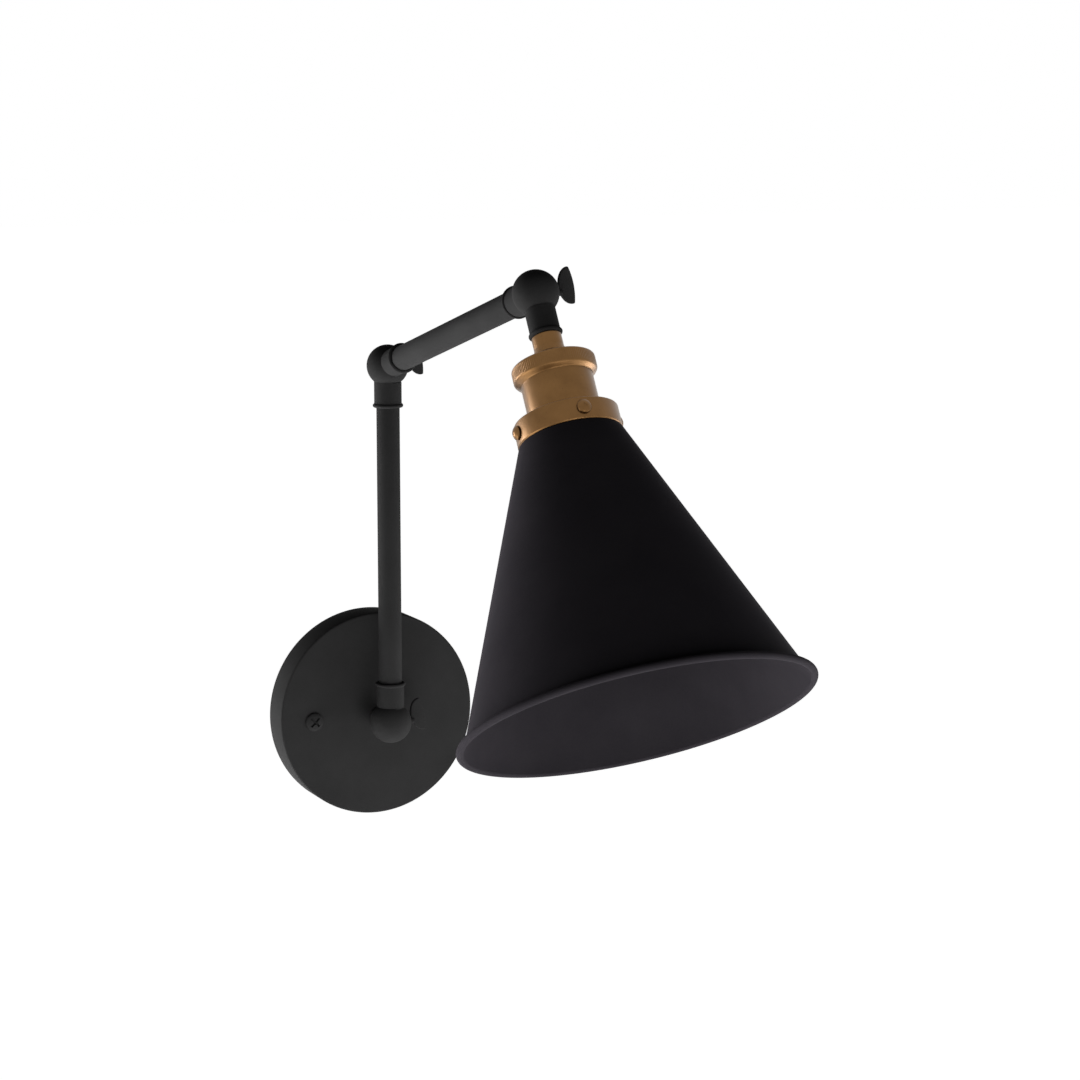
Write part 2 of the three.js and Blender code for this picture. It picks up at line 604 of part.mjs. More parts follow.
/** The base that turns in the plate's hole. */
function swivelBase() {
  const group = frameAt([0, 0, -HUB_DROP], 90);
  const flatTo = FLAT_WASHER_FROM + FLAT_WASHER_THICKNESS;
  const hole = STUD_RADIUS + CLEARANCE;
  const flat = bar(FLAT_WASHER_RADIUS, FLAT_WASHER_FROM, flatTo, FACETS_TUBE, hole);
  const washer = placed(frictionWasher(), { at: [0, 0, BALL_STANDOFF] });
  group.add(piece("base_knuckle_wall_half", baseKnuckleWallHalf(), BLACK));
  group.add(piece("swivel_flat_washer", flat, STEEL));
  group.add(piece("swivel_tooth_washer", toothWasher(STUD_RADIUS, TOOTH_WASHER_FROM), STEEL));
  group.add(piece("swivel_locknut", locknut(STUD_RADIUS, SWIVEL_NUT_FROM), STEEL));
  group.add(piece("base_friction_washer", washer, FIBRE));
  return group;
}

// ---------------------------------------------------------------- arms
/** A tube arm along +Z from one ball centre, with its two half knuckles and its cable. */
function arm({ at, lean, length, tubeRadius, names, signs }) {
  const group = frameAt(at, lean);
  const collar = { radius: COLLAR_RADIUS, length: COLLAR_LENGTH, lip: true, cableBore: CABLE_BORE_RADIUS };
  const seat = { boreRadius: tubeRadius + CLEARANCE, seat: TUBE_SEAT - CLEARANCE };
  const near = knuckleHalf({ ...collar, ...seat, sign: signs[0] });
  const farHalf = knuckleHalf({ ...collar, ...seat, sign: signs[1] });
  const far = placed(farHalf, { at: [0, 0, length], turn: [180, 0, 0] });
  const tube = bar(tubeRadius, TUBE_SEAT, length - TUBE_SEAT, FACETS_TUBE, tubeRadius - TUBE_WALL);
  const cable = bar(CABLE_RADIUS, CABLE_START, length - CABLE_START, FACETS_SMALL);
  const washer = placed(frictionWasher(), { at: [0, 0, length] });
  group.add(piece(names.near, near, BLACK));
  group.add(piece(names.tube, tube, BLACK));
  group.add(piece(names.far, far, BLACK));
  group.add(piece(names.cable, cable, INSULATION_BLACK));
  group.add(piece(names.washer, washer, FIBRE));
  return group;
}

/** The place a given distance along an arm that leans outward from upright. */
function along([x, y, z], lean, length) {
  return [x, y - length * Math.sin(radians(lean)), z + length * Math.cos(radians(lean))];
}

const UPPER_LEAN = 90 - UPPER_ARM_RISE;
const HEAD_LEAN = 180 - HEAD_TILT;
const BASE_BALL = [0, -BALL_STANDOFF, -HUB_DROP];
const MIDDLE_BALL = along(BASE_BALL, 0, LOWER_ARM_LENGTH);
const HEAD_BALL = along(MIDDLE_BALL, UPPER_LEAN, UPPER_ARM_LENGTH);

const lowerArm = () => arm({
  at: BASE_BALL, lean: 0, length: LOWER_ARM_LENGTH, tubeRadius: LOWER_TUBE_RADIUS, signs: [1, -1],
  names: {
    near: "base_knuckle_arm_half", tube: "lower_tube", far: "middle_knuckle_lower_half",
    cable: "lower_arm_cable", washer: "middle_friction_washer",
  },
});

const upperArm = () => arm({
  at: MIDDLE_BALL, lean: UPPER_LEAN, length: UPPER_ARM_LENGTH, tubeRadius: UPPER_TUBE_RADIUS, signs: [1, -1],
  names: {
    near: "middle_knuckle_upper_half", tube: "upper_tube", far: "head_knuckle_arm_half",
    cable: "upper_arm_cable", washer: "head_friction_washer",
  },
});

/** The three thumb screws, one on each knuckle's axis. */
function wingScrews() {
  const places = { base_wing_screw: BASE_BALL, middle_wing_screw: MIDDLE_BALL, head_wing_screw: HEAD_BALL };
  return Object.entries(places).map(([name, at]) => {
    const group = frameAt(at);
    group.add(piece(name, wingScrew(), BLACK));
    return group;
  });
}

// ---------------------------------------------------------------- lamp head
// Drawn with +Z along the head's axis, from the head ball's centre.

/** The head's half of its knuckle, bored for the nipple. */
function headKnuckleHalf() {
  return knuckleHalf({
    sign: 1, radius: COLLAR_RADIUS, length: COLLAR_LENGTH, lip: true, cableBore: CABLE_BORE_RADIUS,
    boreRadius: NIPPLE_RADIUS + CLEARANCE, seat: TUBE_SEAT - CLEARANCE,
  });
}

const CAP_START = COLLAR_LENGTH + LIP_WIDTH + CLEARANCE;
const NECK_END = CAP_START + NECK_LENGTH;
const CAP_SEAT = NECK_END + CAP_SEAT_DEPTH;
const SHOULDER_START = NECK_END + FLARE_LENGTH;
const SHOULDER_END = SHOULDER_START + SHOULDER_LENGTH;
const CAP_SKIRT_BORE = SHELL_RADIUS + CLEARANCE;
const CAP_SKIRT_RADIUS = CAP_SKIRT_BORE + CAP_SKIRT_WALL;
const CAP_END = SHOULDER_END + CAP_SKIRT_LENGTH;
const NIPPLE_END = CAP_SEAT + NIPPLE_PROUD;
const SHELL_START = SHOULDER_END + SHELL_INSET;
const SHELL_END = SHELL_START + SHELL_LENGTH;
const INSULATOR_START = SHELL_START + INSULATOR_INSET;
const INSULATOR_FLOOR = INSULATOR_START + INSULATOR_SOLID;
const INSULATOR_END = SHELL_END - INSULATOR_RECESS;
const FITTER_START = SHELL_START + FITTER_PLACE;
const FITTER_END = FITTER_START + FITTER_LENGTH;
const FITTER_RADIUS = SHELL_RADIUS + FITTER_FLANGE;
const SHADE_TOP_RADIUS = FITTER_RADIUS - SHADE_STEP;
const SHADE_RIM_END = FITTER_END + CLEARANCE + SHADE_LENGTH;
const SHADE_SCREW_PLACE = FITTER_START + SHADE_SCREW_DEPTH;

/** Brass cap: a straight neck, a flare, a sloping shoulder and a thin skirt. */
function socketCap() {
  const bore = NIPPLE_RADIUS + CLEARANCE;
  const flareRadius = NECK_END_RADIUS + FLARE_WIDTH;
  return turned(
    [
      [bore, CAP_START],
      [NECK_END_RADIUS, CAP_START],
      [NECK_END_RADIUS, NECK_END],
      [NECK_END_RADIUS + FLARE_LIP_WIDTH, NECK_END + FLARE_LIP_LENGTH],
      [flareRadius, SHOULDER_START],
      [CAP_SKIRT_RADIUS, SHOULDER_END],
      [CAP_SKIRT_RADIUS, CAP_END],
      [CAP_SKIRT_BORE, CAP_END],
      [CAP_SKIRT_BORE, SHOULDER_END + CAP_WALL],
      [flareRadius - CAP_WALL / 2, SHOULDER_START + CAP_WALL],
      [CAP_SEAT_RADIUS, CAP_SEAT],
      [bore, CAP_SEAT],
    ],
    FACETS_SOCKET,
  );
}

/** Knurled brass ring that grips the cap's skirt, with a foot turned in against the shell. */
function knurledRing() {
  const inner = CAP_SKIRT_RADIUS + CLEARANCE;
  const outer = inner + KNURL_WALL;
  const start = SHOULDER_END + KNURL_GAP;
  const footTop = CAP_END + CLEARANCE;
  const end = footTop + KNURL_FOOT;
  const foot = SHELL_RADIUS + CLEARANCE;
  const round = KNURL_EDGE_ROUND;
  const edge = arc(outer - round, start + round, round, -90, 0, 3);
  return turned(
    [[inner, start], ...edge, [outer, end], [foot, end + KNURL_BASE_DISH], [foot, footTop], [inner, footTop]],
    FACETS_SOCKET,
  );
}

/** Porcelain body: solid at the top, bored for the lamp's screw shell below. */
function insulator() {
  const radius = SHELL_RADIUS - SHELL_WALL - CLEARANCE;
  const bore = SCREW_SHELL_RADIUS + INSULATOR_BORE_GAP;
  const cup = turned(
    [
      [0, INSULATOR_START],
      [radius, INSULATOR_START],
      [radius, INSULATOR_END],
      [bore, INSULATOR_END],
      [bore, INSULATOR_FLOOR],
      [0, INSULATOR_FLOOR],
    ],
    FACETS_TUBE,
  );
  const stemBore = CONTACT_STEM_RADIUS + CLEARANCE;
  const stemHole = bar(stemBore, INSULATOR_START - EPS, INSULATOR_FLOOR + EPS, FACETS_SMALL);
  const screwEnd = INSULATOR_START + TERMINAL_LENGTH + CLEARANCE;
  const screwHole = bar(TERMINAL_SHANK_RADIUS + CLEARANCE, INSULATOR_START - EPS, screwEnd, FACETS_SMALL);
  const screwHoles = [-1, 1].map((side) => placed(screwHole, { at: [side * TERMINAL_REACH, 0, 0] }));
  return [stemHole, ...screwHoles].reduce((whole, cut) => whole.subtract(cut), cup);
}

/** Thin brass sleeve with rolled threads for a medium base lamp. */
function screwShell() {
  const end = INSULATOR_END - SCREW_SHELL_RECESS;
  const rows = Array.from({ length: 2 * THREAD_TURNS + 1 }, (_, i) => {
    const height = end - ((2 * THREAD_TURNS - i) * THREAD_PITCH) / 2;
    return [SCREW_SHELL_RADIUS - (i % 2) * THREAD_DEPTH, height];
  });
  const inside = rows.map(([radius, height]) => [radius - SCREW_SHELL_WALL, height]).reverse();
  return turned([...rows, ...inside], FACETS_SMALL);
}

/** Centre contact: a small disc on the insulator's floor with a stem through it. */
function centreContact() {
  const face = INSULATOR_FLOOR + CLEARANCE;
  return turned(
    [
      [0, INSULATOR_START - CONTACT_STEM_PROUD],
      [CONTACT_STEM_RADIUS, INSULATOR_START - CONTACT_STEM_PROUD],
      [CONTACT_STEM_RADIUS, face],
      [CONTACT_RADIUS, face],
      [CONTACT_RADIUS, face + CONTACT_THICKNESS],
      [0, face + CONTACT_THICKNESS],
    ],
    FACETS_SMALL,
  );
}

/** A lead through the nipple and out over a terminal screw's head. */
function socketLead(side) {
  const over = INSULATOR_START - TERMINAL_HEAD_HEIGHT - 2 * CLEARANCE - LEAD_RADIUS - CLEARANCE;
  const points = [
    [side * LEAD_SPREAD, 0, TUBE_SEAT + LEAD_RADIUS],
    [side * LEAD_SPREAD, 0, CAP_SEAT],
    [side * LEAD_SPREAD, 0, NIPPLE_END - LEAD_RADIUS],
    [(side * TERMINAL_REACH) / 2, 0, over - LEAD_RADIUS],
    [side * (TERMINAL_REACH + LEAD_TAIL), 0, over],
  ];
  return cord(points, LEAD_RADIUS, 10);
}

/** Brass ring that carries the shade: a flat top round the socket and a straight side. */
function fitterRing() {
  const round = FITTER_EDGE_ROUND;
  const inner = FITTER_RADIUS - FITTER_WALL;
  const bore = SHELL_RADIUS + CLEARANCE;
  const body = turned(
    [
      [bore, FITTER_START],
      ...arc(FITTER_RADIUS - round, FITTER_START + round, round, -90, 0, 3),
      [FITTER_RADIUS, FITTER_END],
      [inner, FITTER_END],
      [inner, FITTER_START + FITTER_WALL],
      [bore, FITTER_START + FITTER_WALL],
    ],
    FACETS_SHADE,
  );
  return drilled(body);
}

/** Outside of the shade's cone at a place along the head's axis. */
function coneRadius(place) {
  const start = FITTER_END + CLEARANCE;
  const end = SHADE_RIM_END - SHADE_BEAD_RADIUS;
  const rise = SHADE_RIM_RADIUS - 2 * SHADE_BEAD_RADIUS - SHADE_TOP_RADIUS;
  return SHADE_TOP_RADIUS + (rise * (place - start)) / (end - start);
}

/** Conical shade: a collar inside the fitter ring, a straight cone and a rolled rim. */
function shade() {
  const collar = FITTER_RADIUS - FITTER_WALL - CLEARANCE;
  const collarStart = FITTER_START + SHADE_COLLAR_DEPTH;
  const start = FITTER_END + CLEARANCE;
  const bead = SHADE_BEAD_RADIUS;
  const beadPlace = SHADE_RIM_END - bead;
  const insideStart = start + 1.5 * SHADE_WALL;
  const insideEnd = beadPlace - bead / 2;
  const body = turned(
    [
      [collar - SHADE_WALL, collarStart],
      [collar, collarStart],
      [collar, start],
      [SHADE_TOP_RADIUS, start],
      [coneRadius(beadPlace - bead), beadPlace - bead],
      ...arc(SHADE_RIM_RADIUS - bead, beadPlace, bead, -90, 180, 6),
      [coneRadius(insideEnd) - SHADE_WALL, insideEnd],
      [coneRadius(insideStart) - SHADE_WALL * 1.5, insideStart],
      [collar - SHADE_WALL, insideStart - SHADE_WALL],
    ],
    FACETS_SHADE,
  );
  return drilled(body);
}

/** Angles round the head's axis at which the shade screws stand. */
const shadeScrewTurns = () =>
  Array.from({ length: SHADE_SCREW_COUNT }, (_, i) => SHADE_SCREW_TURN + (360 * i) / SHADE_SCREW_COUNT);

/** A body with the shade screws' holes cut through it. */
function drilled(body) {
  const from = FITTER_RADIUS - SHADE_SCREW_LENGTH - EPS;
  const hole = placed(
    bar(SHADE_SCREW_RADIUS + CLEARANCE, from, FITTER_RADIUS + EPS, FACETS_SMALL),
    { turn: [0, 90, 0] },
  );
  return shadeScrewTurns().reduce(
    (whole, turn) => whole.subtract(placed(hole, { at: [0, 0, SHADE_SCREW_PLACE], turn: [0, 0, turn] })),
    body,
  );
}

/** One shade screw at its angle round the ring. */
function shadeScrew(turn) {
  const seat = FITTER_RADIUS + CLEARANCE / 2;
  const screw = domedScrew({
    headRadius: SHADE_SCREW_HEAD_RADIUS, headHeight: SHADE_SCREW_HEAD_HEIGHT,
    radius: SHADE_SCREW_RADIUS, length: SHADE_SCREW_LENGTH,
  });
  const radial = placed(placed(screw, { at: [0, 0, seat] }), { turn: [0, 90, 0] });
  return placed(radial, { at: [0, 0, SHADE_SCREW_PLACE], turn: [0, 0, turn] });
}

/** The lamp head: knuckle half, nipple, socket, fitter ring, shade and screws. */
function lampHead() {
  const group = frameAt(HEAD_BALL, HEAD_LEAN);
  const nipple = bar(NIPPLE_RADIUS, TUBE_SEAT, NIPPLE_END, FACETS_TUBE, NIPPLE_BORE_RADIUS);
  const shell = bar(SHELL_RADIUS, SHELL_START, SHELL_END, FACETS_SOCKET, SHELL_RADIUS - SHELL_WALL);
  const nutFrom = FITTER_START + FITTER_WALL + CLEARANCE;
  const nutTo = nutFrom + RING_NUT_HEIGHT;
  const nutBore = SHELL_RADIUS + CLEARANCE;
  const ringNut = bar(nutBore + RING_NUT_WIDTH - CLEARANCE, nutFrom, nutTo, FACETS_SOCKET, nutBore);
  group.add(piece("head_knuckle_head_half", headKnuckleHalf(), BLACK));
  group.add(piece("head_nipple", nipple, STEEL));
  group.add(piece("head_locknut", locknut(NIPPLE_RADIUS, CAP_SEAT + CLEARANCE), STEEL));
  group.add(piece("socket_cap", socketCap(), BRASS));
  group.add(piece("knurled_ring", knurledRing(), BRASS));
  group.add(piece("socket_shell", shell, BRASS));
  group.add(piece("socket_insulator", insulator(), PORCELAIN));
  group.add(piece("lamp_screw_shell", screwShell(), BRASS));
  group.add(piece("centre_contact", centreContact(), BRASS));
  for (const [name, side, insulation] of [["hot", -1, INSULATION_BLACK], ["neutral", 1, INSULATION_WHITE]]) {
    const screw = domedScrew({
      headRadius: TERMINAL_HEAD_RADIUS, headHeight: TERMINAL_HEAD_HEIGHT,
      radius: TERMINAL_SHANK_RADIUS, length: TERMINAL_LENGTH,
    });
    const at = [side * TERMINAL_REACH, 0, INSULATOR_START - CLEARANCE];
    group.add(piece(`${name}_terminal_screw`, placed(screw, { at, turn: [180, 0, 0] }), STEEL));
    group.add(piece(`${name}_socket_lead`, socketLead(side), insulation));
  }
  group.add(piece("fitter_ring", fitterRing(), BRASS));
  group.add(piece("fitter_ring_nut", ringNut, BRASS));
  group.add(piece("shade", shade(), BLACK));
  shadeScrewTurns().forEach((turn, i) => {
    group.add(piece(`shade_screw_${i + 1}`, shadeScrew(turn), BRASS));
  });
  return group;
}

// ---------------------------------------------------------------- the whole sconce
const group = new THREE.Group();
group.name = "swing_arm_wall_sconce";
group.add(wallPlate(), swivelBase(), lowerArm(), upperArm(), lampHead(), ...wingScrews());
export default group;
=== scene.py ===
"""Looks of a swing arm wall sconce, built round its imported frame.

Lengths inside the classes are millimetres; a piece goes into the scene in metres, in the
frame's own axes: +Z up, +Y into the wall, and the arms in the plane x = 0.
"""

import json
import logging
import math
from collections.abc import Callable, Sequence
from dataclasses import dataclass, field
from enum import Enum

import bmesh
import bpy
from mathutils import Matrix, Vector


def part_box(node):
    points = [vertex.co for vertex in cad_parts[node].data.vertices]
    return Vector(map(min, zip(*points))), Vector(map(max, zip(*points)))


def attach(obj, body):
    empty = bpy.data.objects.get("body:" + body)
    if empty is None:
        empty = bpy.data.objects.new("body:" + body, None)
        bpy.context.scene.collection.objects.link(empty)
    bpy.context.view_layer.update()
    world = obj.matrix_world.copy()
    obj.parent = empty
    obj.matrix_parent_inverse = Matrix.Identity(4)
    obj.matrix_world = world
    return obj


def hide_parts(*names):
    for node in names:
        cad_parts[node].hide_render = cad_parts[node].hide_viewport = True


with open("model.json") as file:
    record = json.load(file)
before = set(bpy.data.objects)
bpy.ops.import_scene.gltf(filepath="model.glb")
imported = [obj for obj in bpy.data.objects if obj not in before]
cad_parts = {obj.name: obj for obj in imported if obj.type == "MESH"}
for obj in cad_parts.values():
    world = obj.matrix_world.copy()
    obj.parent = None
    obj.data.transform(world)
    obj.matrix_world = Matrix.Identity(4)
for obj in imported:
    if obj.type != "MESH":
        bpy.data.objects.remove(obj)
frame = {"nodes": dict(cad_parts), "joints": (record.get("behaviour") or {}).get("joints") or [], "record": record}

LOG = logging.getLogger("sconce")
MM = 0.001

GAP = 0.3  # between pieces that touch on the real sconce
LIFT = 0.15  # of a screw's head off its seat
PAST = 1.0  # how far a cutting tool runs past what it cuts
SMALL, LARGE = 48, 128  # facets round fittings, and round balls, tubes and sockets
ROUNDING = 4  # straight steps round an eased corner
PEEL = 0.9 * MM  # from bump to bump of the powder coat
TOOL_MARK = 0.22 * MM  # from ring to ring of turned brass

Point = tuple[float, float]
Corner = tuple[float, ...]
Triple = tuple[float, float, float]
Relief = Callable[[float, float, float], float]


class Slot(Enum):
    """Material slots of the record."""

    BLACK = "powder_coat_black"
    BRASS = "antique_brass"
    ZINC = "zinc_steel"
    PORCELAIN = "porcelain"
    FIBRE = "fibre"
    GREEN = "green"
    CAP_ORANGE = "connector_orange"
    CAP_GREEN = "connector_green"
    VINYL_BLACK = "insulation_black"
    VINYL_WHITE = "insulation_white"
    VINYL_GREEN = "insulation_green"


class Body(Enum):
    """Rigid bodies of the frame."""

    WALL = "wall_plate"
    SWIVEL = "swivel_base"
    LOWER = "lower_arm"
    UPPER = "upper_arm"
    HEAD = "lamp_head"
    BASE_WING = "base_wing"
    MIDDLE_WING = "middle_wing"
    HEAD_WING = "head_wing"


class Side(Enum):
    """Which half of a knuckle a casting is: the drilled one at +X or the tapped one at -X."""

    DRILLED = 1
    TAPPED = -1


def linked(name: str, data: bpy.types.ID) -> bpy.types.Object:
    """A new object of the scene.

    Args:
        name: Its name.
        data: Its mesh, lamp or camera.

    Returns:
        The object.
    """
    made = bpy.data.objects.new(name, data)
    bpy.context.scene.collection.objects.link(made)
    return made


# Outlines


def arc(x: float, y: float, radius: float, start: float, end: float, steps: int) -> list[Point]:
    """Points of a circular arc.

    Args:
        x: Centre, first coordinate.
        y: Centre, second coordinate.
        radius: Radius of the arc.
        start: First angle in degrees.
        end: Last angle in degrees.
        steps: Number of straight steps.

    Returns:
        The points from start to end.
    """
    angles = [math.radians(start + (end - start) * i / steps) for i in range(steps + 1)]
    return [(x + radius * math.cos(a), y + radius * math.sin(a)) for a in angles]


def oblong(half_x: float, half_y: float, radius: float = 0) -> list[Corner]:
    """Corners of a rectangle about the origin, all rounded alike."""
    return [(x * half_x, y * half_y, radius) for x, y in ((-1, -1), (1, -1), (1, 1), (-1, 1))]


def eased(corners: Sequence[Corner]) -> list[Point]:
    """Rounds the corners of a closed outline.

    Args:
        corners: (x, y) or (x, y, rounding radius) in order round the outline.

    Returns:
        The outline's points.
    """
    points: list[Point] = []
    count = len(corners)
    for i, corner in enumerate(corners):
        here = Vector(corner[:2])
        radius = corner[2] if len(corner) > 2 else 0.0
        back = Vector(corners[i - 1][:2]) - here
        ahead = Vector(corners[(i + 1) % count][:2]) - here
        if radius <= 0 or back.length == 0 or ahead.length == 0:
            points.append((here.x, here.y))
            continue
        half = back.angle(ahead) / 2
        reach = min(radius / math.tan(half), 0.48 * back.length, 0.48 * ahead.length)
        radius = reach * math.tan(half)
        inward = (back.normalized() + ahead.normalized()).normalized()
        centre = here + inward * radius / math.sin(half)
        first = here + back.normalized() * reach - centre
        last = here + ahead.normalized() * reach - centre
        turn = math.atan2(first.x * last.y - first.y * last.x, first.dot(last))
        for step in range(ROUNDING + 1):
            spoke = first.copy()
            spoke.rotate(Matrix.Rotation(turn * step / ROUNDING, 2))
            points.append((centre.x + spoke.x, centre.y + spoke.y))
    return points


def spot(x: float = 0, y: float = 0, z: float = 0, turn: Sequence[float] = (0, 0, 0)) -> Matrix:
    """A place in millimetres with turns about X, Y and Z in degrees.

    Args:
        x: Along X.
        y: Along Y.
        z: Along Z.
        turn: Degrees about X, then Y, then Z.

    Returns:
        The matrix.
    """
    angles = [math.radians(a) for a in turn]
    rotation = Matrix.Rotation(angles[2], 4, "Z") @ Matrix.Rotation(angles[1], 4, "Y")
    return Matrix.Translation((x, y, z)) @ rotation @ Matrix.Rotation(angles[0], 4, "X")


# Solids


class Solid:
    """A closed mesh in millimetres that can be joined with others and cut by them."""

    ON_AXIS = 1e-6
    MERGE = 1e-4
    DOME = 0.75
    CORD_SIDES = 20
    CORD_STEPS = 12

    def __init__(self, mesh: bpy.types.Mesh) -> None:
        """Wraps a mesh that belongs to this solid alone."""
        self.mesh = mesh

    @classmethod
    def from_bmesh(cls, work: bmesh.types.BMesh) -> "Solid":
        """Takes over a bmesh, with its faces turned outward.

        Args:
            work: The mesh as edited, which is freed.

        Returns:
            The solid.
        """
        bmesh.ops.remove_doubles(work, verts=work.verts, dist=cls.MERGE)
        bmesh.ops.recalc_face_normals(work, faces=work.faces)
        if work.calc_volume(signed=True) < 0:
            bmesh.ops.reverse_faces(work, faces=work.faces)
        mesh = bpy.data.meshes.new("solid")
        work.to_mesh(mesh)
        work.free()
        return cls(mesh)

    @classmethod
    def lathed(cls, outline: Sequence[Corner], segments: int = 96,
               relief: Relief | None = None) -> "Solid":
        """Turns an outline about +Z.

        Args:
            outline: (radius, height) or (radius, height, rounding), closed or from axis to axis.
            segments: Facets round the axis.
            relief: Gives the radius at (radius, height, angle), where the surface isn't round.

        Returns:
            The turned solid.
        """
        profile = eased(outline)
        work = bmesh.new()
        rings: list[list[bmesh.types.BMVert]] = []
        for radius, height in profile:
            if radius < cls.ON_AXIS:
                rings.append([work.verts.new((0, 0, height))])
                continue
            spokes = [2 * math.pi * i / segments for i in range(segments)]
            reach = [relief(radius, height, angle) if relief else radius for angle in spokes]
            rings.append([
                work.verts.new((far * math.cos(angle), far * math.sin(angle), height))
                for far, angle in zip(reach, spokes)
            ])
        return cls._skinned(work, [*rings, rings[0]])

    @classmethod
    def _skinned(cls, work: bmesh.types.BMesh, loops: list[list[bmesh.types.BMVert]]) -> "Solid":
        """Faces between loops, any of which may be a single point, and over both ends.

        Args:
            work: The mesh that owns the points.
            loops: Rings of points from end to end; a skin that closes on itself repeats its first.

        Returns:
            The solid.
        """
        sides = max(len(loop) for loop in loops)
        for one, two in zip(loops, loops[1:]):
            for i in range(sides if len(one) + len(two) > 2 else 0):
                j = (i + 1) % sides
                corners = ((one, i), (two, i), (two, j), (one, j))
                unique = list(dict.fromkeys(loop[k % len(loop)] for loop, k in corners))
                if len(unique) > 2:
                    work.faces.new(unique)
        if loops[0] is not loops[-1]:
            for end in (loops[0], loops[-1]):
                work.faces.new(end)
        return cls.from_bmesh(work)

    @classmethod
    def rod(cls, radius: float, start: float, end: float, bore: float = 0, ease: float = 0.2,
            segments: int = 64) -> "Solid":
        """A round bar along +Z, hollow if it has a bore, with eased edges."""
        outline = [(radius, start, ease), (radius, end, ease), (bore, end), (bore, start)]
        return cls.lathed(outline, segments)

    @classmethod
    def drill(cls, radius: float, start: float, end: float, segments: int = 64) -> "Solid":
        """What a drill takes out between two heights, and a little past both."""
        return cls.rod(radius, start - PAST, end + PAST, ease=0, segments=segments)

    def cut(self, tool: "Solid", places: Sequence[Matrix]) -> "Solid":
        """This solid with a tool cut away at several places.

        Args:
            tool: What is cut away.
            places: Where the tool stands for each cut.

        Returns:
            What is left.
        """
        left = self
        for place in places:
            left = left - tool.at(place)
        return left

    @classmethod
    def slab(cls, outline: Sequence[Corner], bottom: float, top: float, ease: float = 0,
             steps: int = 3) -> "Solid":
        """Pushes a convex outline up +Z.

        Args:
            outline: (x, y) or (x, y, rounding) corners in order.
            bottom: Height of the lower face.
            top: Height of the upper face.
            ease: Radius of the rounding along both faces' edges.
            steps: Straight steps in that rounding.

        Returns:
            The solid.
        """
        flat = [Vector(p) for p in eased(outline)]
        spun = sum(a.cross(b) for a, b in zip(flat, flat[1:] + flat[:1]))
        if spun < 0:
            flat.reverse()
        levels = [(0.0, bottom), (0.0, top)]
        if ease:
            turns = [math.pi / 2 * i / steps for i in range(steps + 1)]
            low = [(ease * (1 - math.sin(t)), bottom + ease * (1 - math.cos(t))) for t in turns]
            high = [(inset, bottom + top - height) for inset, height in reversed(low)]
            levels = low + high
        work = bmesh.new()
        loops = [
            [work.verts.new((*p, height)) for p in cls._inset(flat, inset)]
            for inset, height in levels
        ]
        return cls._skinned(work, loops)

    @staticmethod
    def _inset(flat: list[Vector], distance: float) -> list[Vector]:
        """A counter-clockwise outline moved inward by a distance.

        Args:
            flat: The outline's points.
            distance: How far each side moves.

        Returns:
            The moved points.
        """
        moved = []
        for i, here in enumerate(flat):
            before = (here - flat[i - 1]).normalized()
            after = (flat[(i + 1) % len(flat)] - here).normalized()
            normal = Vector((-before.y - after.y, before.x + after.x))
            scale = max(normal.length, 0.5)
            moved.append(here + normal.normalized() * distance * 2 / scale)
        return moved

    @classmethod
    def block(cls, low: Sequence[float], high: Sequence[float], ease: float = 0) -> "Solid":
        """A box between two corners."""
        outline = [(low[0], low[1]), (high[0], low[1]), (high[0], high[1]), (low[0], high[1])]
        return cls.slab(outline, low[2], high[2], ease)

    @classmethod
    def swept(cls, route: Sequence[Sequence[float]], radius: float) -> "Solid":
        """A round cord along a smooth curve through the route's points, with domed ends.

        Args:
            route: Points it passes.
            radius: Its radius.

        Returns:
            The cord.
        """
        line = cls._curve([Vector(p) for p in route])
        work = bmesh.new()
        loops = []
        direction = (line[1] - line[0]).normalized()
        side = direction.orthogonal().normalized()
        last = len(line) - 1
        for i, here in enumerate(line):
            ahead = (line[min(i + 1, last)] - line[max(i - 1, 0)]).normalized()
            side = (direction.rotation_difference(ahead) @ side).normalized()
            direction = ahead
            across = direction.cross(side)
            size = radius * (cls.DOME if i in (0, last) else 1)
            angles = [2 * math.pi * k / cls.CORD_SIDES for k in range(cls.CORD_SIDES)]
            loops.append([
                work.verts.new(here + (side * math.cos(a) + across * math.sin(a)) * size)
                for a in angles
            ])
        return cls._skinned(work, loops)

    @classmethod
    def _curve(cls, route: list[Vector]) -> list[Vector]:
        """Points of a centripetal spline through a route.

        Args:
            route: Points it passes.

        Returns:
            The points.
        """
        ends = [2 * route[0] - route[1], *route, 2 * route[-1] - route[-2]]
        line = []
        for p0, p1, p2, p3 in zip(ends, ends[1:], ends[2:], ends[3:]):
            t1 = (p1 - p0).length ** 0.5
            t2 = t1 + (p2 - p1).length ** 0.5
            t3 = t2 + (p3 - p2).length ** 0.5
            for step in range(cls.CORD_STEPS):
                t = t1 + (t2 - t1) * step / cls.CORD_STEPS
                a1 = p0.lerp(p1, t / t1)
                a2 = p1.lerp(p2, (t - t1) / (t2 - t1))
                a3 = p2.lerp(p3, (t - t2) / (t3 - t2))
                b1 = a1.lerp(a2, t / t2)
                b2 = a2.lerp(a3, (t - t1) / (t3 - t1))
                line.append(b1.lerp(b2, (t - t1) / (t2 - t1)))
        return [*line, route[-1]]

    def at(self, place: Matrix) -> "Solid":
        """A copy of this solid at a place.

        Args:
            place: Where it goes, in millimetres.

        Returns:
            The copy.
        """
        mesh = self.mesh.copy()
        mesh.transform(place)
        return Solid(mesh)

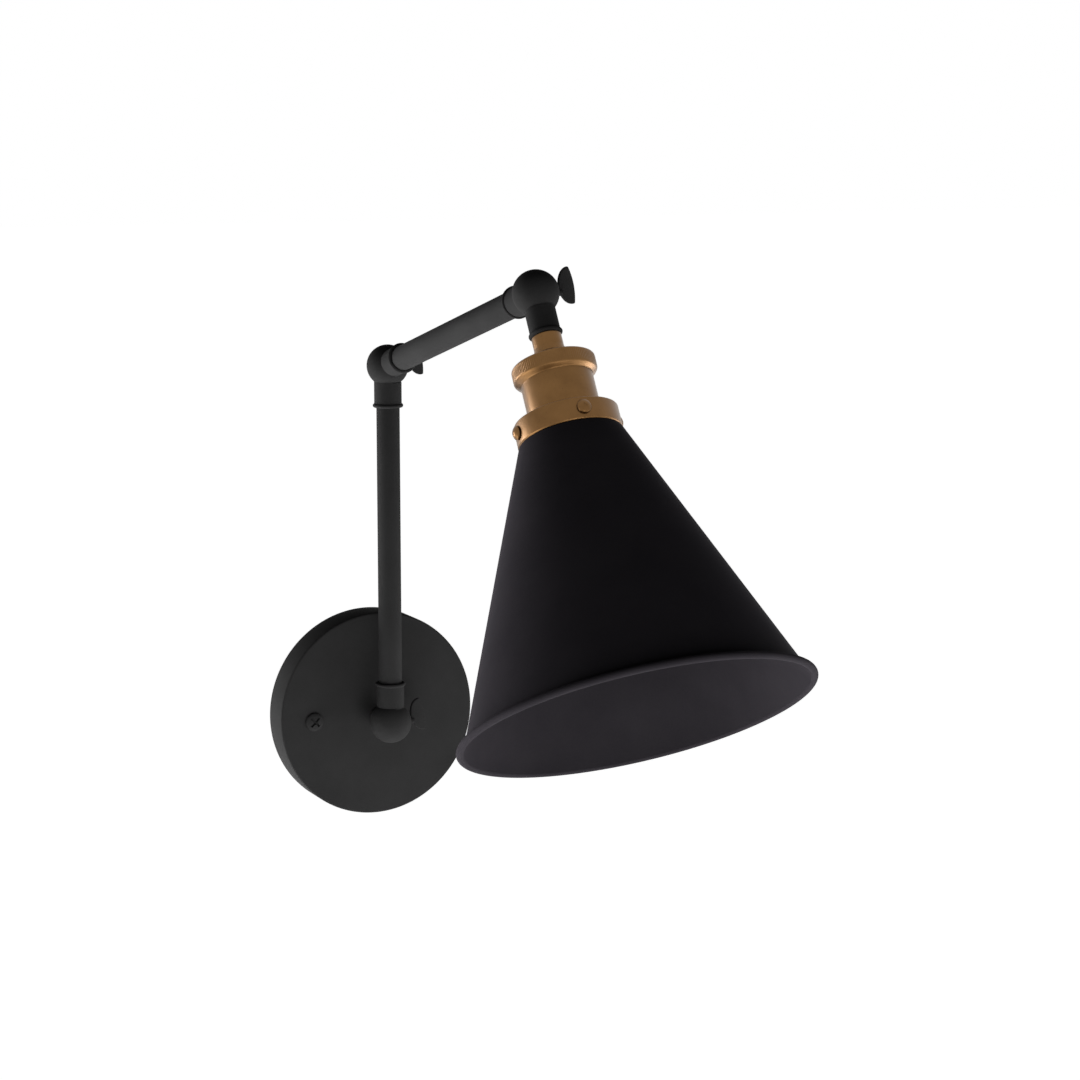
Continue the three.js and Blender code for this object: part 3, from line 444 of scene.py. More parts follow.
    def _combined(self, other: "Solid", operation: str) -> "Solid":
        """This solid and another through Blender's boolean modifier.

        Args:
            other: The second solid.
            operation: The modifier's operation.

        Returns:
            The result.
        """
        owner, tool = linked("owner", self.mesh), linked("tool", other.mesh)
        change = owner.modifiers.new("combine", "BOOLEAN")
        change.operation = operation
        change.solver = "MANIFOLD"
        change.object = tool
        graph = bpy.context.evaluated_depsgraph_get()
        mesh = bpy.data.meshes.new_from_object(owner.evaluated_get(graph))
        for item in (owner, tool):
            bpy.data.objects.remove(item)
        return Solid(mesh)

    def __add__(self, other: "Solid") -> "Solid":
        """Both solids joined."""
        return self._combined(other, "UNION")

    def __sub__(self, other: "Solid") -> "Solid":
        """This solid with the other cut away."""
        return self._combined(other, "DIFFERENCE")

    def __and__(self, other: "Solid") -> "Solid":
        """What both solids share."""
        return self._combined(other, "INTERSECT")


# Shader building


class Value:
    """A shader socket on which arithmetic adds Math nodes."""

    def __init__(self, shader: "NodeTree", socket: bpy.types.NodeSocket) -> None:
        """Wraps an output socket of a shader's tree."""
        self.shader = shader
        self.socket = socket

    def _math(self, operation: str, first: object, second: object, clamp: bool = False) -> "Value":
        """A Math node on two values."""
        settings = {"operation": operation, "use_clamp": clamp}
        return self.shader.node("ShaderNodeMath", settings, {0: first, 1: second})

    def __add__(self, other: "Value | float") -> "Value":
        """Sum."""
        return self._math("ADD", self, other)

    __radd__ = __add__

    def __sub__(self, other: "Value | float") -> "Value":
        """Difference."""
        return self._math("SUBTRACT", self, other)

    def __mul__(self, other: "Value | float") -> "Value":
        """Product."""
        return self._math("MULTIPLY", self, other)

    def clamped(self) -> "Value":
        """The value held between 0 and 1."""
        return self._math("ADD", self, 0.0, clamp=True)

    def swing(self, gain: float) -> "Value":
        """How far the value is above one half, times a gain."""
        return (self - 0.5) * gain


class NodeTree:
    """A shader tree to which nodes are added."""

    RANGE = ("Value", "From Min", "From Max", "To Min", "To Max")

    def __init__(self, tree: bpy.types.NodeTree) -> None:
        """Empties the tree."""
        self.tree = tree
        self.tree.nodes.clear()

    def node(self, kind: str, settings: dict | None = None, inputs: dict | None = None,
             output: int | str = 0) -> Value | None:
        """Adds one node.

        Args:
            kind: The node's type.
            settings: Attributes to set first.
            inputs: Numbers, tuples or values by socket name or number.
            output: The output socket to return.

        Returns:
            That output, or nothing from a node that has none.
        """
        made = self.tree.nodes.new(kind)
        for key, setting in (settings or {}).items():
            setattr(made, key, setting)
        for key, given in (inputs or {}).items():
            self.feed(made.inputs[key], given)
        return Value(self, made.outputs[output]) if len(made.outputs) else None

    def smooth(self, value: Value, source: Point, target: Point) -> Value:
        """A smooth step from one range to another."""
        settings, sockets = {"interpolation_type": "SMOOTHSTEP"}, (value, *source, *target)
        return self.node("ShaderNodeMapRange", settings, dict(zip(self.RANGE, sockets)), "Result")

    def ray(self, kind: str) -> Value:
        """1 for one kind of ray."""
        return self.node("ShaderNodeLightPath", output=f"Is {kind} Ray")

    def seen(self) -> Value:
        """1 for rays that show the surroundings to the camera, by themselves or in a gloss."""
        return (self.ray("Camera") + self.ray("Glossy") + self.ray("Transmission")).clamped()

    def feed(self, socket: bpy.types.NodeSocket, given: object) -> None:
        """Links a value to a socket, or sets its number.

        Args:
            socket: An input.
            given: A value, number or tuple.
        """
        if isinstance(given, Value):
            self.tree.links.new(given.socket, socket)
        elif isinstance(given, tuple) and len(given) == 3 and socket.type == "RGBA":
            socket.default_value = (*given, 1)
        else:
            socket.default_value = given


class Shader(NodeTree):
    """A material under construction round one Principled node."""

    def __init__(self, name: str) -> None:
        """Starts an empty material.

        Args:
            name: The material's name.
        """
        self.material = bpy.data.materials.new(name)
        self.material.use_nodes = True
        super().__init__(self.material.node_tree)
        self.surface = self.tree.nodes.new("ShaderNodeBsdfPrincipled")
        output = self.tree.nodes.new("ShaderNodeOutputMaterial")
        self.tree.links.new(self.surface.outputs["BSDF"], output.inputs["Surface"])

    def set(self, **inputs: object) -> None:
        """Feeds the Principled node; underscores in names stand for spaces."""
        for key, given in inputs.items():
            self.feed(self.surface.inputs[key.replace("_", " ")], given)

    def place(self) -> Value:
        """Coordinates in metres that stay with the piece."""
        return self.node("ShaderNodeTexCoord", output="Object")

    def noise(self, vector: Value, scale: float, detail: float = 2.0, rough: float = 0.5) -> Value:
        """A noise value between 0 and 1."""
        inputs = {"Vector": vector, "Scale": scale, "Detail": detail, "Roughness": rough}
        return self.node("ShaderNodeTexNoise", {}, inputs)

    def length(self, vector: Value) -> Value:
        """Length of a vector."""
        return self.node("ShaderNodeVectorMath", {"operation": "LENGTH"}, {0: vector}, "Value")

    def blend(self, factor: Value | float, one: object, two: object) -> Value:
        """A mix of two colours."""
        settings = {"data_type": "RGBA"}
        return self.node("ShaderNodeMix", settings, {0: factor, 6: one, 7: two}, output=2)

    def bump(self, height: Value, strength: float, depth_mm: float) -> Value:
        """A bumped normal from a height."""
        inputs = {"Strength": strength, "Distance": depth_mm * MM, "Height": height}
        return self.node("ShaderNodeBump", {}, inputs)

    def cells(self, vector: Value, scale: float, output: str) -> Value:
        """Distance or colour of a cell pattern."""
        inputs = {"Vector": vector, "Scale": scale}
        return self.node("ShaderNodeTexVoronoi", {"feature": "F1"}, inputs, output)


# Finishes


class Pattern(Enum):
    """What a grain is: a noise, or the shade or the distance of cells."""

    NOISE = 0
    CELL_SHADE = 1
    CELL_DISTANCE = 2


@dataclass(frozen=True)
class Grain:
    """A pattern, and how far it sways the colour mix, the roughness and the height."""

    scale: float
    detail: float = 2.0
    rough: float = 0.5
    mix: float = 0.0
    matt: float = 0.0
    height: float = 0.0
    stretch: Triple = (1.0, 1.0, 1.0)
    pattern: Pattern = Pattern.NOISE

    def value(self, shader: Shader, place: Value) -> Value:
        """The pattern at a place.

        Args:
            shader: The shader being made.
            place: Coordinates on the piece, in metres.

        Returns:
            A value between 0 and 1.
        """
        if self.stretch != Grain.stretch:
            place = shader.node("ShaderNodeMapping", {}, {"Vector": place, "Scale": self.stretch})
        if self.pattern is Pattern.NOISE:
            return shader.noise(place, self.scale, self.detail, self.rough)
        if self.pattern is Pattern.CELL_DISTANCE:
            return shader.cells(place, self.scale, "Distance")
        shade = shader.cells(place, self.scale, "Color")
        return shader.node("ShaderNodeSeparateColor", {}, {"Color": shade}, "Red")


@dataclass(frozen=True)
class Turning(Grain):
    """Fine uneven rings round an axis, as a lathe tool leaves them."""

    centre: Triple = (0.0, 0.0, 0.0)
    lean: float = 0.0

    def value(self, shader: Shader, place: Value) -> Value:
        """A noise that changes along the radius and the axis only.

        Args:
            shader: The shader being made.
            place: Coordinates on the piece, in metres.

        Returns:
            A value between 0 and 1.
        """
        inputs = {"Vector": place, "Location": self.centre, "Rotation": (self.lean, 0.0, 0.0)}
        own = shader.node("ShaderNodeMapping", {"vector_type": "TEXTURE"}, inputs)
        x, y, z = (shader.node("ShaderNodeSeparateXYZ", {}, {"Vector": own}, key) for key in "XYZ")
        far = shader.length(shader.node("ShaderNodeCombineXYZ", {}, {"X": x, "Y": y}))
        bend = shader.noise(own, 60.0, 1.0) * 0.0002
        line = shader.node("ShaderNodeCombineXYZ", {}, {"X": far + bend, "Y": z + bend})
        return shader.noise(line, self.scale, self.detail, self.rough)


@dataclass(frozen=True)
class Marks:
    """Spots where a grain passes a limit, with their colour and their roughness and height."""

    grain: Grain
    limit: float
    gain: float
    share: float = 1.0
    colour: Triple | None = None
    matt: float = 0.0
    height: float = 0.0

    def mask(self, shader: Shader, place: Value) -> Value:
        """The share on the spots, and 0 between them."""
        value = self.grain.value(shader, place)
        return ((value - self.limit) * self.gain).clamped() * self.share


@dataclass(frozen=True)
class Finish:
    """What a surface is made of and how it was worked: grains over a mix of two colours."""

    slot: Slot
    low: Triple
    high: Triple
    grains: tuple[Grain, ...] = ()
    level: float = 0.5
    marks: Marks | None = None
    roughness: float = 0.5
    strength: float = 0.3
    depth_mm: float = 0.01
    metallic: float = 0.0
    metallic_sway: float = 0.0
    gloss: float = 0.5
    coat: float = 0.0
    coat_roughness: float = 0.03

    def material(self) -> bpy.types.Material:
        """The finish's material, made once for each slot.

        Returns:
            The material.
        """
        name = f"{type(self).__name__}_{self.slot.value}"
        made = bpy.data.materials.get(name)
        if made is None:
            shader = Shader(name)
            shader.set(**self.look(shader, shader.place()))
            made = shader.material
        return made

    def look(self, shader: Shader, place: Value) -> dict[str, object]:
        """The grains' sways and the marks put together.

        Args:
            shader: The shader being made.
            place: Coordinates on the piece, in metres.

        Returns:
            Inputs of the Principled node.
        """
        mix, roughness, height = self.level, self.roughness, 0.0
        for grain in self.grains:
            value = grain.value(shader, place)
            mix = mix + value.swing(grain.mix) if grain.mix else mix
            roughness = roughness + value.swing(grain.matt) if grain.matt else roughness
            height = height + value.swing(grain.height) if grain.height else height
        mix = mix.clamped()
        metallic = self.metallic
        if self.metallic_sway:
            metallic = metallic + mix * self.metallic_sway
        colour = shader.blend(mix, self.low, self.high)
        if self.marks:
            mask = self.marks.mask(shader, place)
            colour = shader.blend(mask, colour, self.marks.colour) if self.marks.colour else colour
            roughness = roughness + mask * self.marks.matt
            height = height + mask * self.marks.height
        return dict(
            Base_Color=colour,
            Roughness=roughness,
            Metallic=metallic,
            Specular_IOR_Level=self.gloss,
            Coat_Weight=self.coat,
            Coat_Roughness=self.coat_roughness,
            Normal=shader.bump(height, self.strength, self.depth_mm),
        )


@dataclass(frozen=True)
class PowderCoat(Finish):
    """Matte black powder coat: orange peel and grit with a few pinholes, dustier in clouds."""

    slot: Slot = Slot.BLACK
    low: Triple = (0.0270, 0.0268, 0.0270)
    high: Triple = (0.0342, 0.0340, 0.0342)
    grains: tuple[Grain, ...] = (
        Grain(38.0, 3.0, 0.55, mix=1.6, matt=0.16),
        Grain(1 / PEEL, 2.0, 0.45, mix=0.7, height=1.0),
        Grain(4.2 / PEEL, 1.0, matt=0.10, height=0.18),
    )
    level: float = 0.42
    marks: Marks | None = Marks(
        Grain(420.0, pattern=Pattern.CELL_DISTANCE), limit=0.16, gain=-6.0, height=-0.35
    )
    strength: float = 0.55
    depth_mm: float = 0.012
    gloss: float = 0.0012


@dataclass(frozen=True)
class ShadeCoat(PowderCoat):
    """The shade's powder coat, from a batch with a trace more violet in it."""

    low: Triple = (0.0271, 0.0246, 0.0288)
    high: Triple = (0.0343, 0.0314, 0.0358)


@dataclass(frozen=True)
class AntiqueBrass(Finish):
    """Satin brass darkened to a patchy brown, with turning marks and dark specks."""

    slot: Slot = Slot.BRASS
    low: Triple = (0.120, 0.058, 0.017)
    high: Triple = (0.176, 0.089, 0.029)
    level: float = 0.45
    marks: Marks | None = Marks(
        Grain(620.0, 3.0, 0.7), limit=0.62, gain=5.0, share=0.7, colour=(0.052, 0.027, 0.011),
        matt=0.2,
    )
    roughness: float = 0.35
    strength: float = 0.25
    depth_mm: float = 0.005
    metallic: float = 1.0
    coat: float = 0.18
    coat_roughness: float = 0.3

    @classmethod
    def turned(cls, centre: Triple, lean: float) -> "AntiqueBrass":
        """Brass turned about an axis through a centre, leaned about X.

        Args:
            centre: A point on the axis, in metres.
            lean: Its turn about X from +Z.

        Returns:
            The finish.
        """
        clouds = Grain(85.0, 4.0, 0.6, mix=1.5, matt=0.12)
        rings = Turning(1 / TOOL_MARK, 3.0, 0.65, mix=0.3, matt=0.08, height=1.0,
                        centre=centre, lean=lean)
        return cls(grains=(clouds, rings, Grain(620.0, 3.0, 0.7, height=0.12)))


@dataclass(frozen=True)
class ZincSteel(Finish):
    """Bright zinc plate on steel, with a faint spangle and rolling marks."""

    slot: Slot = Slot.ZINC
    low: Triple = (0.33, 0.34, 0.36)
    high: Triple = (0.52, 0.53, 0.54)
    grains: tuple[Grain, ...] = (
        Grain(260.0, mix=0.35, matt=0.10, pattern=Pattern.CELL_SHADE),
        Grain(90.0, 4.0, 0.6, mix=1.3, height=0.4),
        Grain(1.0, 3.0, 0.6, matt=0.18, height=1.0, stretch=(60.0, 3200.0, 3200.0)),
    )
    level: float = 0.55
    roughness: float = 0.36
    strength: float = 0.25
    depth_mm: float = 0.008
    metallic: float = 1.0


@dataclass(frozen=True)
class Porcelain(Finish):
    """White glazed porcelain with a slight warm mottle and a few dark specks."""

    slot: Slot = Slot.PORCELAIN
    low: Triple = (0.70, 0.66, 0.58)
    high: Triple = (0.80, 0.77, 0.70)
    grains: tuple[Grain, ...] = (Grain(160.0, 4.0, 0.6, mix=1.0, matt=0.12, height=1.0),)
    marks: Marks | None = Marks(
        Grain(1500.0, 2.0, 0.6), limit=0.70, gain=9.0, colour=(0.36, 0.29, 0.21)
    )
    roughness: float = 0.22
    strength: float = 0.2
    depth_mm: float = 0.03
    coat: float = 0.35


@dataclass(frozen=True)
class Fibre(Finish):
    """Pressed red fibre sheet with long threads."""

    slot: Slot = Slot.FIBRE
    low: Triple = (0.12, 0.022, 0.014)
    high: Triple = (0.22, 0.045, 0.026)
    grains: tuple[Grain, ...] = (
        Grain(1.0, 3.0, 0.7, mix=2.2, matt=0.2, height=1.0, stretch=(900.0, 4200.0, 900.0)),
    )
    roughness: float = 0.8
    strength: float = 0.5
    depth_mm: float = 0.03


@dataclass(frozen=True)
class Vinyl(Finish):
    """Extruded vinyl insulation of a lead, slightly waxy, with faint draw lines."""

    grains: tuple[Grain, ...] = (
        Grain(240.0, 3.0, mix=1.0, matt=0.2),
        Grain(2600.0, 2.0, 0.6, matt=0.1, height=1.0),
    )
    roughness: float = 0.42
    depth_mm: float = 0.012

    @classmethod
    def dyed(cls, slot: Slot, colour: Triple) -> "Vinyl":
        """Vinyl of one colour, faded where it is worn."""
        return cls(slot, colour, tuple(0.82 * part + 0.015 for part in colour))


@dataclass(frozen=True)
class MouldedPlastic(Finish):
    """Moulded plastic of a wire connector, with flow marks and a fine satin texture."""

    grains: tuple[Grain, ...] = (
        Grain(190.0, 3.0, 0.6, mix=1.8),
        Grain(3600.0, matt=0.3, height=1.0),
    )
    roughness: float = 0.44
    strength: float = 0.4

    @classmethod
    def dyed(cls, slot: Slot, colour: Triple) -> "MouldedPlastic":
        """Plastic of one colour, deeper where it flowed last."""
        return cls(slot, tuple(0.72 * part for part in colour), colour)


@dataclass(frozen=True)
class PaintedScrew(Finish):
    """Green lacquer over steel, as on an earthing screw, worn through in patches."""

    slot: Slot = Slot.GREEN
    low: Triple = (0.028, 0.205, 0.058)
    high: Triple = (0.30, 0.36, 0.28)
    grains: tuple[Grain, ...] = (Grain(420.0, 4.0, 0.65, mix=7.0, matt=0.25, height=1.0),)
    level: float = -0.7
    roughness: float = 0.38
    depth_mm: float = 0.02
    metallic: float = 0.15
    metallic_sway: float = 0.7


BLACK = PowderCoat()
SHADE_COAT = ShadeCoat()
ZINC = ZincSteel()
PORCELAIN = Porcelain()
FIBRE = Fibre()
EARTH_SCREW = PaintedScrew()
VINYL_BLACK = Vinyl.dyed(Slot.VINYL_BLACK, (0.018, 0.018, 0.019))
VINYL_WHITE = Vinyl.dyed(Slot.VINYL_WHITE, (0.72, 0.71, 0.67))
VINYL_GREEN = Vinyl.dyed(Slot.VINYL_GREEN, (0.030, 0.20, 0.055))
CAP_ORANGE = MouldedPlastic.dyed(Slot.CAP_ORANGE, (0.70, 0.20, 0.028))
CAP_GREEN = MouldedPlastic.dyed(Slot.CAP_GREEN, (0.035, 0.26, 0.07))


# Places in the frame


@dataclass(frozen=True)
class Station:
    """Where a sub-assembly stands, with its own +Z, and the body that carries it."""

    origin: Vector
    lean: float
    body: Body

    @property
    def matrix(self) -> Matrix:
        """The place in metres, leaned about X."""
        return Matrix.Translation(self.origin) @ Matrix.Rotation(self.lean, 4, "X")

    @classmethod
    def towards(cls, origin: Vector, direction: Vector, body: Body) -> "Station":
        """A station whose +Z lies along a direction in the arms' plane."""
        return cls(origin, math.atan2(-direction.y, direction.z), body)


@dataclass(frozen=True)
class Skeleton:
    """Ball centres and head axis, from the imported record."""

    base: Vector
    middle: Vector
    head: Vector
    head_axis: Vector

    @classmethod
    def read(cls) -> "Skeleton":
        """Reads the joints' places and the lamp mount's axis.

        Returns:
            The skeleton.
        """
        joints = {joint["name"]: Vector(joint["pos_m"]) for joint in frame["joints"]}
        lamp = next(m for m in frame["record"]["mounts"] if m["name"] == "lamp_contact")
        centres = [joints[f"{name}_knuckle"] for name in ("base", "middle", "head")]
        return cls(*centres, Vector(lamp["axis"]).normalized())


class Assembly:
    """A sub-assembly that publishes its solids, made at its station, as pieces of the scene."""

    WELD_M = 2e-7
    station: Station

    def publish(self, node: str, solid: Solid, finish: Finish = BLACK,
                crease: float = 32.0) -> None:
        """Puts a solid into the scene in place of a node of the frame.

        Args:
            node: The node it stands for.
            solid: Its shape in the station's own millimetres.
            finish: Its finish.
            crease: Edges sharper than this many degrees stay sharp.
        """
        station, mesh = self.station, solid.mesh
        mesh.transform(station.matrix @ Matrix.Scale(MM, 4))
        mesh.name = f"{node}_detail"
        work = bmesh.new()
        work.from_mesh(mesh)
        bmesh.ops.remove_doubles(work, verts=work.verts, dist=self.WELD_M)
        bmesh.ops.dissolve_degenerate(work, dist=self.WELD_M, edges=work.edges)
        work.to_mesh(mesh)
        work.free()
        mesh.shade_smooth()
        mesh.set_sharp_from_angle(angle=math.radians(crease))
        mesh.materials.clear()
        mesh.materials.append(finish.material())
        piece = linked(mesh.name, mesh)
        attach(piece, station.body.value)
        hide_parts(node)
        LOG.info("%s: %d faces on %s", piece.name, len(mesh.polygons), station.body.value)

    def dress(self, finish: Finish, *nodes: str) -> None:
        """Gives carried-over nodes of the frame their finish.

        Args:
            finish: Their finish.
            nodes: Nodes that keep the shape they have in the frame.
        """
        for node in nodes:
            piece = frame["nodes"][node]
            for slot in piece.material_slots:
                slot.material = finish.material()
            LOG.info("%s keeps its shape, in %s", node, finish.slot.value)


# Shared fittings


def grooved(depth: float, wave: Callable[[float, float], float], low: Point, high: Point,
            inner: float = 0) -> Relief:
    """Grooves that run out at both ends.

    Args:
        depth: Their depth.
        wave: The share of the depth at (height, angle).
        low: The lower end, and how far above it the grooves are whole.
        high: The upper end, and how far below it the grooves are whole.
        inner: Surfaces nearer the axis than this stay plain.

    Returns:
        The relief for Solid.lathed.
    """

    def relief(radius: float, height: float, angle: float) -> float:
        """The radius that the grooves leave at a place.

        Args:
            radius: Radius of the plain surface.
            height: Height of the point.
            angle: Its turn round the axis.

        Returns:
            The radius there.
        """
        if radius <= inner:
            return radius
        below, above = (height - low[0]) / low[1], (high[0] - height) / high[1]
        return radius - depth * min(1.0, max(0.0, below), max(0.0, above)) * wave(height, angle)

    return relief


def thread(pitch: float, depth: float, start: float, end: float, inner: float = 0,
           run_out: float = 1e-9, side: int = 1) -> Relief:
    """A helical groove between two heights.

    Args:
        pitch: Distance between turns.
        depth: Depth of the groove.
        start: Lower height.
        end: Upper height.
        inner: Surfaces nearer the axis than this stay plain.
        run_out: How far from both ends the groove is whole.
        side: 1 for a groove that crosses +X at height 0, or -1 for a crest there.

    Returns:
        The relief for Solid.lathed.
    """

    def wave(height: float, angle: float) -> float:
        """The share of the depth at a place on the thread."""
        turn = (height / pitch - angle / (2 * math.pi)) % 1
        return 0.5 + side * 0.5 * math.cos(2 * math.pi * turn)

    return grooved(depth, wave, (start, run_out), (end, run_out), inner)


def flights(radius: float, start: float, end: float, pitch: float) -> list[Point]:
    """Points up a threaded side, close enough together to show its turns."""
    count = max(2, math.ceil(abs(end - start) / pitch * 6))
    return [(radius, start + (end - start) * i / count) for i in range(count + 1)]


@dataclass
class DomedScrew:
    """A domed cross-recess screw: the head stands on z = 0 and the shank hangs below it.

    Side, crown, recess and the cross's reach and width are shares of the head's size.
    """

    head_radius: float
    head_height: float
    radius: float
    length: float
    pitch: float = 0.7
    side: float = 0.28
    recess: float = 0.62
    crown: float = 1.0
    taper: float = 1.0
    cross_reach: float = 0.66
    cross_width: float = 0.11
    point: float = 0.35
    thread_depth: float = 0.13

    def solid(self) -> Solid:
        """The screw.

        Returns:
            The solid.
        """
        steps = 12
        dome = []
        for i in range(1, steps + 1):
            angle = math.pi / 2 * i / steps
            rise = self.side + (1 - self.side) * max(0.0, math.cos(angle)) ** self.taper
            dome.append((self.head_radius * self.crown * math.sin(angle), self.head_height * rise))
        if self.crown < 1:
            dome.append((self.head_radius, self.head_height * self.side * 0.45))
        side = flights(self.radius, -GAP, -self.length + GAP, self.pitch)
        outline = [(0, self.head_height), *dome, (self.head_radius, 0, 0.25), (self.radius, 0),
                   *side, (self.radius - self.point, -self.length), (0, -self.length)]
        depth = self.thread_depth * self.radius
        grooves = thread(self.pitch, depth, -self.length, -2 * GAP, self.radius - 0.2)

        def below_head(radius: float, height: float, angle: float) -> float:
            """Threads the shank alone."""
            return grooves(radius, height, angle) if height < 0 else radius

        whole = Solid.lathed(outline, SMALL, below_head)
        half = self.head_radius * self.cross_reach
        width = self.head_radius * self.cross_width
        floor = self.head_height * (1 - self.recess)
        above = self.head_height + 0.5
        bottom = floor - 0.1
        arm = Solid.slab(oblong(half, width, 0.2), floor, above)
        funnel = [(0, bottom), (width, bottom), (width * 2.6, above), (0, above)]
        middle = Solid.lathed(funnel, SMALL // 2)
        return whole.cut(arm, [spot(turn=(0, 0, turn)) for turn in (45, 135)]) - middle


@dataclass
class Nut:
    """A six-sided nut with chamfered corners and a chamfered bore."""

    across: float
    height: float
    bore: float
    relief: float = 0.5

    def solid(self, start: float) -> Solid:
        """The nut standing on a height.

        Args:
            start: Height of its lower face.

        Returns:
            The solid.
        """
        corner = self.across / 2 / math.cos(math.pi / 6)
        turns = [math.pi / 3 * i for i in range(6)]
        shape = [(corner * math.cos(turn), corner * math.sin(turn), 0.25) for turn in turns]
        end = start + self.height
        prism = Solid.slab(shape, start, end)
        flat = self.across / 2 * 0.98
        chamfer = (corner - flat) * 0.6
        turned = Solid.lathed([(0, start), (flat, start), (corner, start + chamfer),
                               (corner, end - chamfer), (flat, end), (0, end)])
        wide = self.bore + self.relief + PAST
        hole = Solid.lathed(
            [(0, start - PAST), (wide, start - PAST), (self.bore, start + self.relief),
             (self.bore, end - self.relief), (wide, end + PAST), (0, end + PAST)], SMALL
        )
        return (prism & turned) - hole


@dataclass
class Knuckle:
    """Castings of a split ball knuckle; the hinge is X and the collar points along +Z."""

    radius: float = 12.65
    wall: float = 2.1
    split: float = 0.012
    hub: float = 5.0
    washer: float = 0.7
    screw: float = 2.0
    screw_depth: float = 9.4
    collar: float = 8.3
    collar_length: float = 22.9
    lip: float = 9.2
    lip_width: float = 2.4
    seat: float = 14.0
    cable_bore: float = 4.6
    sweep: float = 0.45
    fillet: float = 0.9

    @property
    def lip_end(self) -> float:
        """Ball centre to the end of the collar's lip."""
        return self.collar_length + self.lip_width

    def half_ball(self, side: Side) -> Solid:
        """Half of the ball with its hub, drilled through at +X or tapped at -X.

        Args:
            side: Which half.

        Returns:
            The half ball, turned about X.
        """
        inner = self.radius - self.wall
        hole = self.screw + GAP
        edge = self.split / 2
        through = side is Side.DRILLED
        first = math.degrees(math.asin(hole / self.radius)) if through else 0.0
        rim = math.degrees(math.acos(edge / self.radius))
        inside_rim = math.degrees(math.acos(edge / inner))
        hub_turn = math.degrees(math.asin(self.hub / inner))
        outside = [(y, x) for x, y in arc(0, 0, self.radius, first, rim, 46)]
        inside = [(y, x) for x, y in arc(0, 0, inner, inside_rim, hub_turn, 16)]
        hub_face = self.washer / 2 + GAP
        floor = [] if through else [(hole, self.screw_depth + GAP), (0, self.screw_depth + GAP)]
        outline = [*outside, *inside, (self.hub, hub_face), (hole, hub_face), *floor]
        if not through:
            outline[0] = (0, self.radius)
        return Solid.lathed(outline, LARGE).at(spot(turn=(0, 90 * side.value, 0)))

    def _stem(self, radius: float, tail: Sequence[Corner], bore: float) -> Solid:
        """A round stem from inside the ball, filleted to it, and on through the tail's points.

        Args:
            radius: Its radius where it leaves the ball.
            tail: (radius, height) corners past the fillet.
            bore: Radius of its bore.

        Returns:
            The stem.
        """
        reach = self.radius - self.wall / 2
        start = math.sqrt(reach ** 2 - radius ** 2)
        centre = math.sqrt((self.radius + self.fillet) ** 2 - (radius + self.fillet) ** 2)
        lean = math.degrees(math.atan2(radius + self.fillet, centre))
        foot = arc(radius + self.fillet, centre, self.fillet, 270 - lean, 180, 6)
        sunk = start - 0.4
        outline = [(bore, sunk), (foot[0][0] - 0.6, sunk), *foot, *tail, (bore, tail[-1][1])]
        return Solid.lathed(outline, LARGE)

    def half(self, side: Side, tail: Sequence[Corner], radius: float, bore: float, socket: float,
             seat: float) -> Solid:
        """One half of the knuckle with its collar.

        Args:
            side: Which half.
            tail: (radius, height) corners of the collar's outside, past the ball.
            radius: The collar's radius at the ball.
            bore: Radius of the cable's way through.
            socket: Radius of the seat for the tube.
            seat: Ball centre to the seat's floor.

        Returns:
            The casting.
        """
        end = tail[-1][1]
        far = 2 * self.radius
        edge = side.value * self.split / 2
        low, high = ((-far, edge) if side is Side.DRILLED else (edge, far))
        other = Solid.block((low, -far, -far), (high, far, 2 * far))
        clear = self.radius + self.sweep
        swept = [(y, x) for x, y in arc(0, 0, clear, 0, 180, 48)][:-1] + [(0, -clear)]
        stem = self._stem(radius, tail, bore) - (other & Solid.lathed(swept, LARGE))
        whole = self.half_ball(side) + stem
        way = Solid.drill(bore, math.sqrt(self.radius ** 2 - radius ** 2) - self.wall - 0.5, end)
        return whole - way - Solid.rod(socket, seat, end + PAST, ease=0)

    def lipped(self, side: Side, socket: float) -> Solid:
        """A half with a straight collar that ends in a rolled lip round its tube.

        Args:
            side: Which half.
            socket: Radius of the seat for the tube.

        Returns:
            The casting.
        """
        bead = self.lip_width / 2
        rolled = arc(self.lip - bead, self.collar_length + bead, bead, -78, 90, 14)
        tail = [(self.collar, self.collar_length - 0.25, 0.2), *rolled]
        return self.half(side, tail, self.collar, self.cable_bore, socket, self.seat - GAP)


# Sub-assemblies


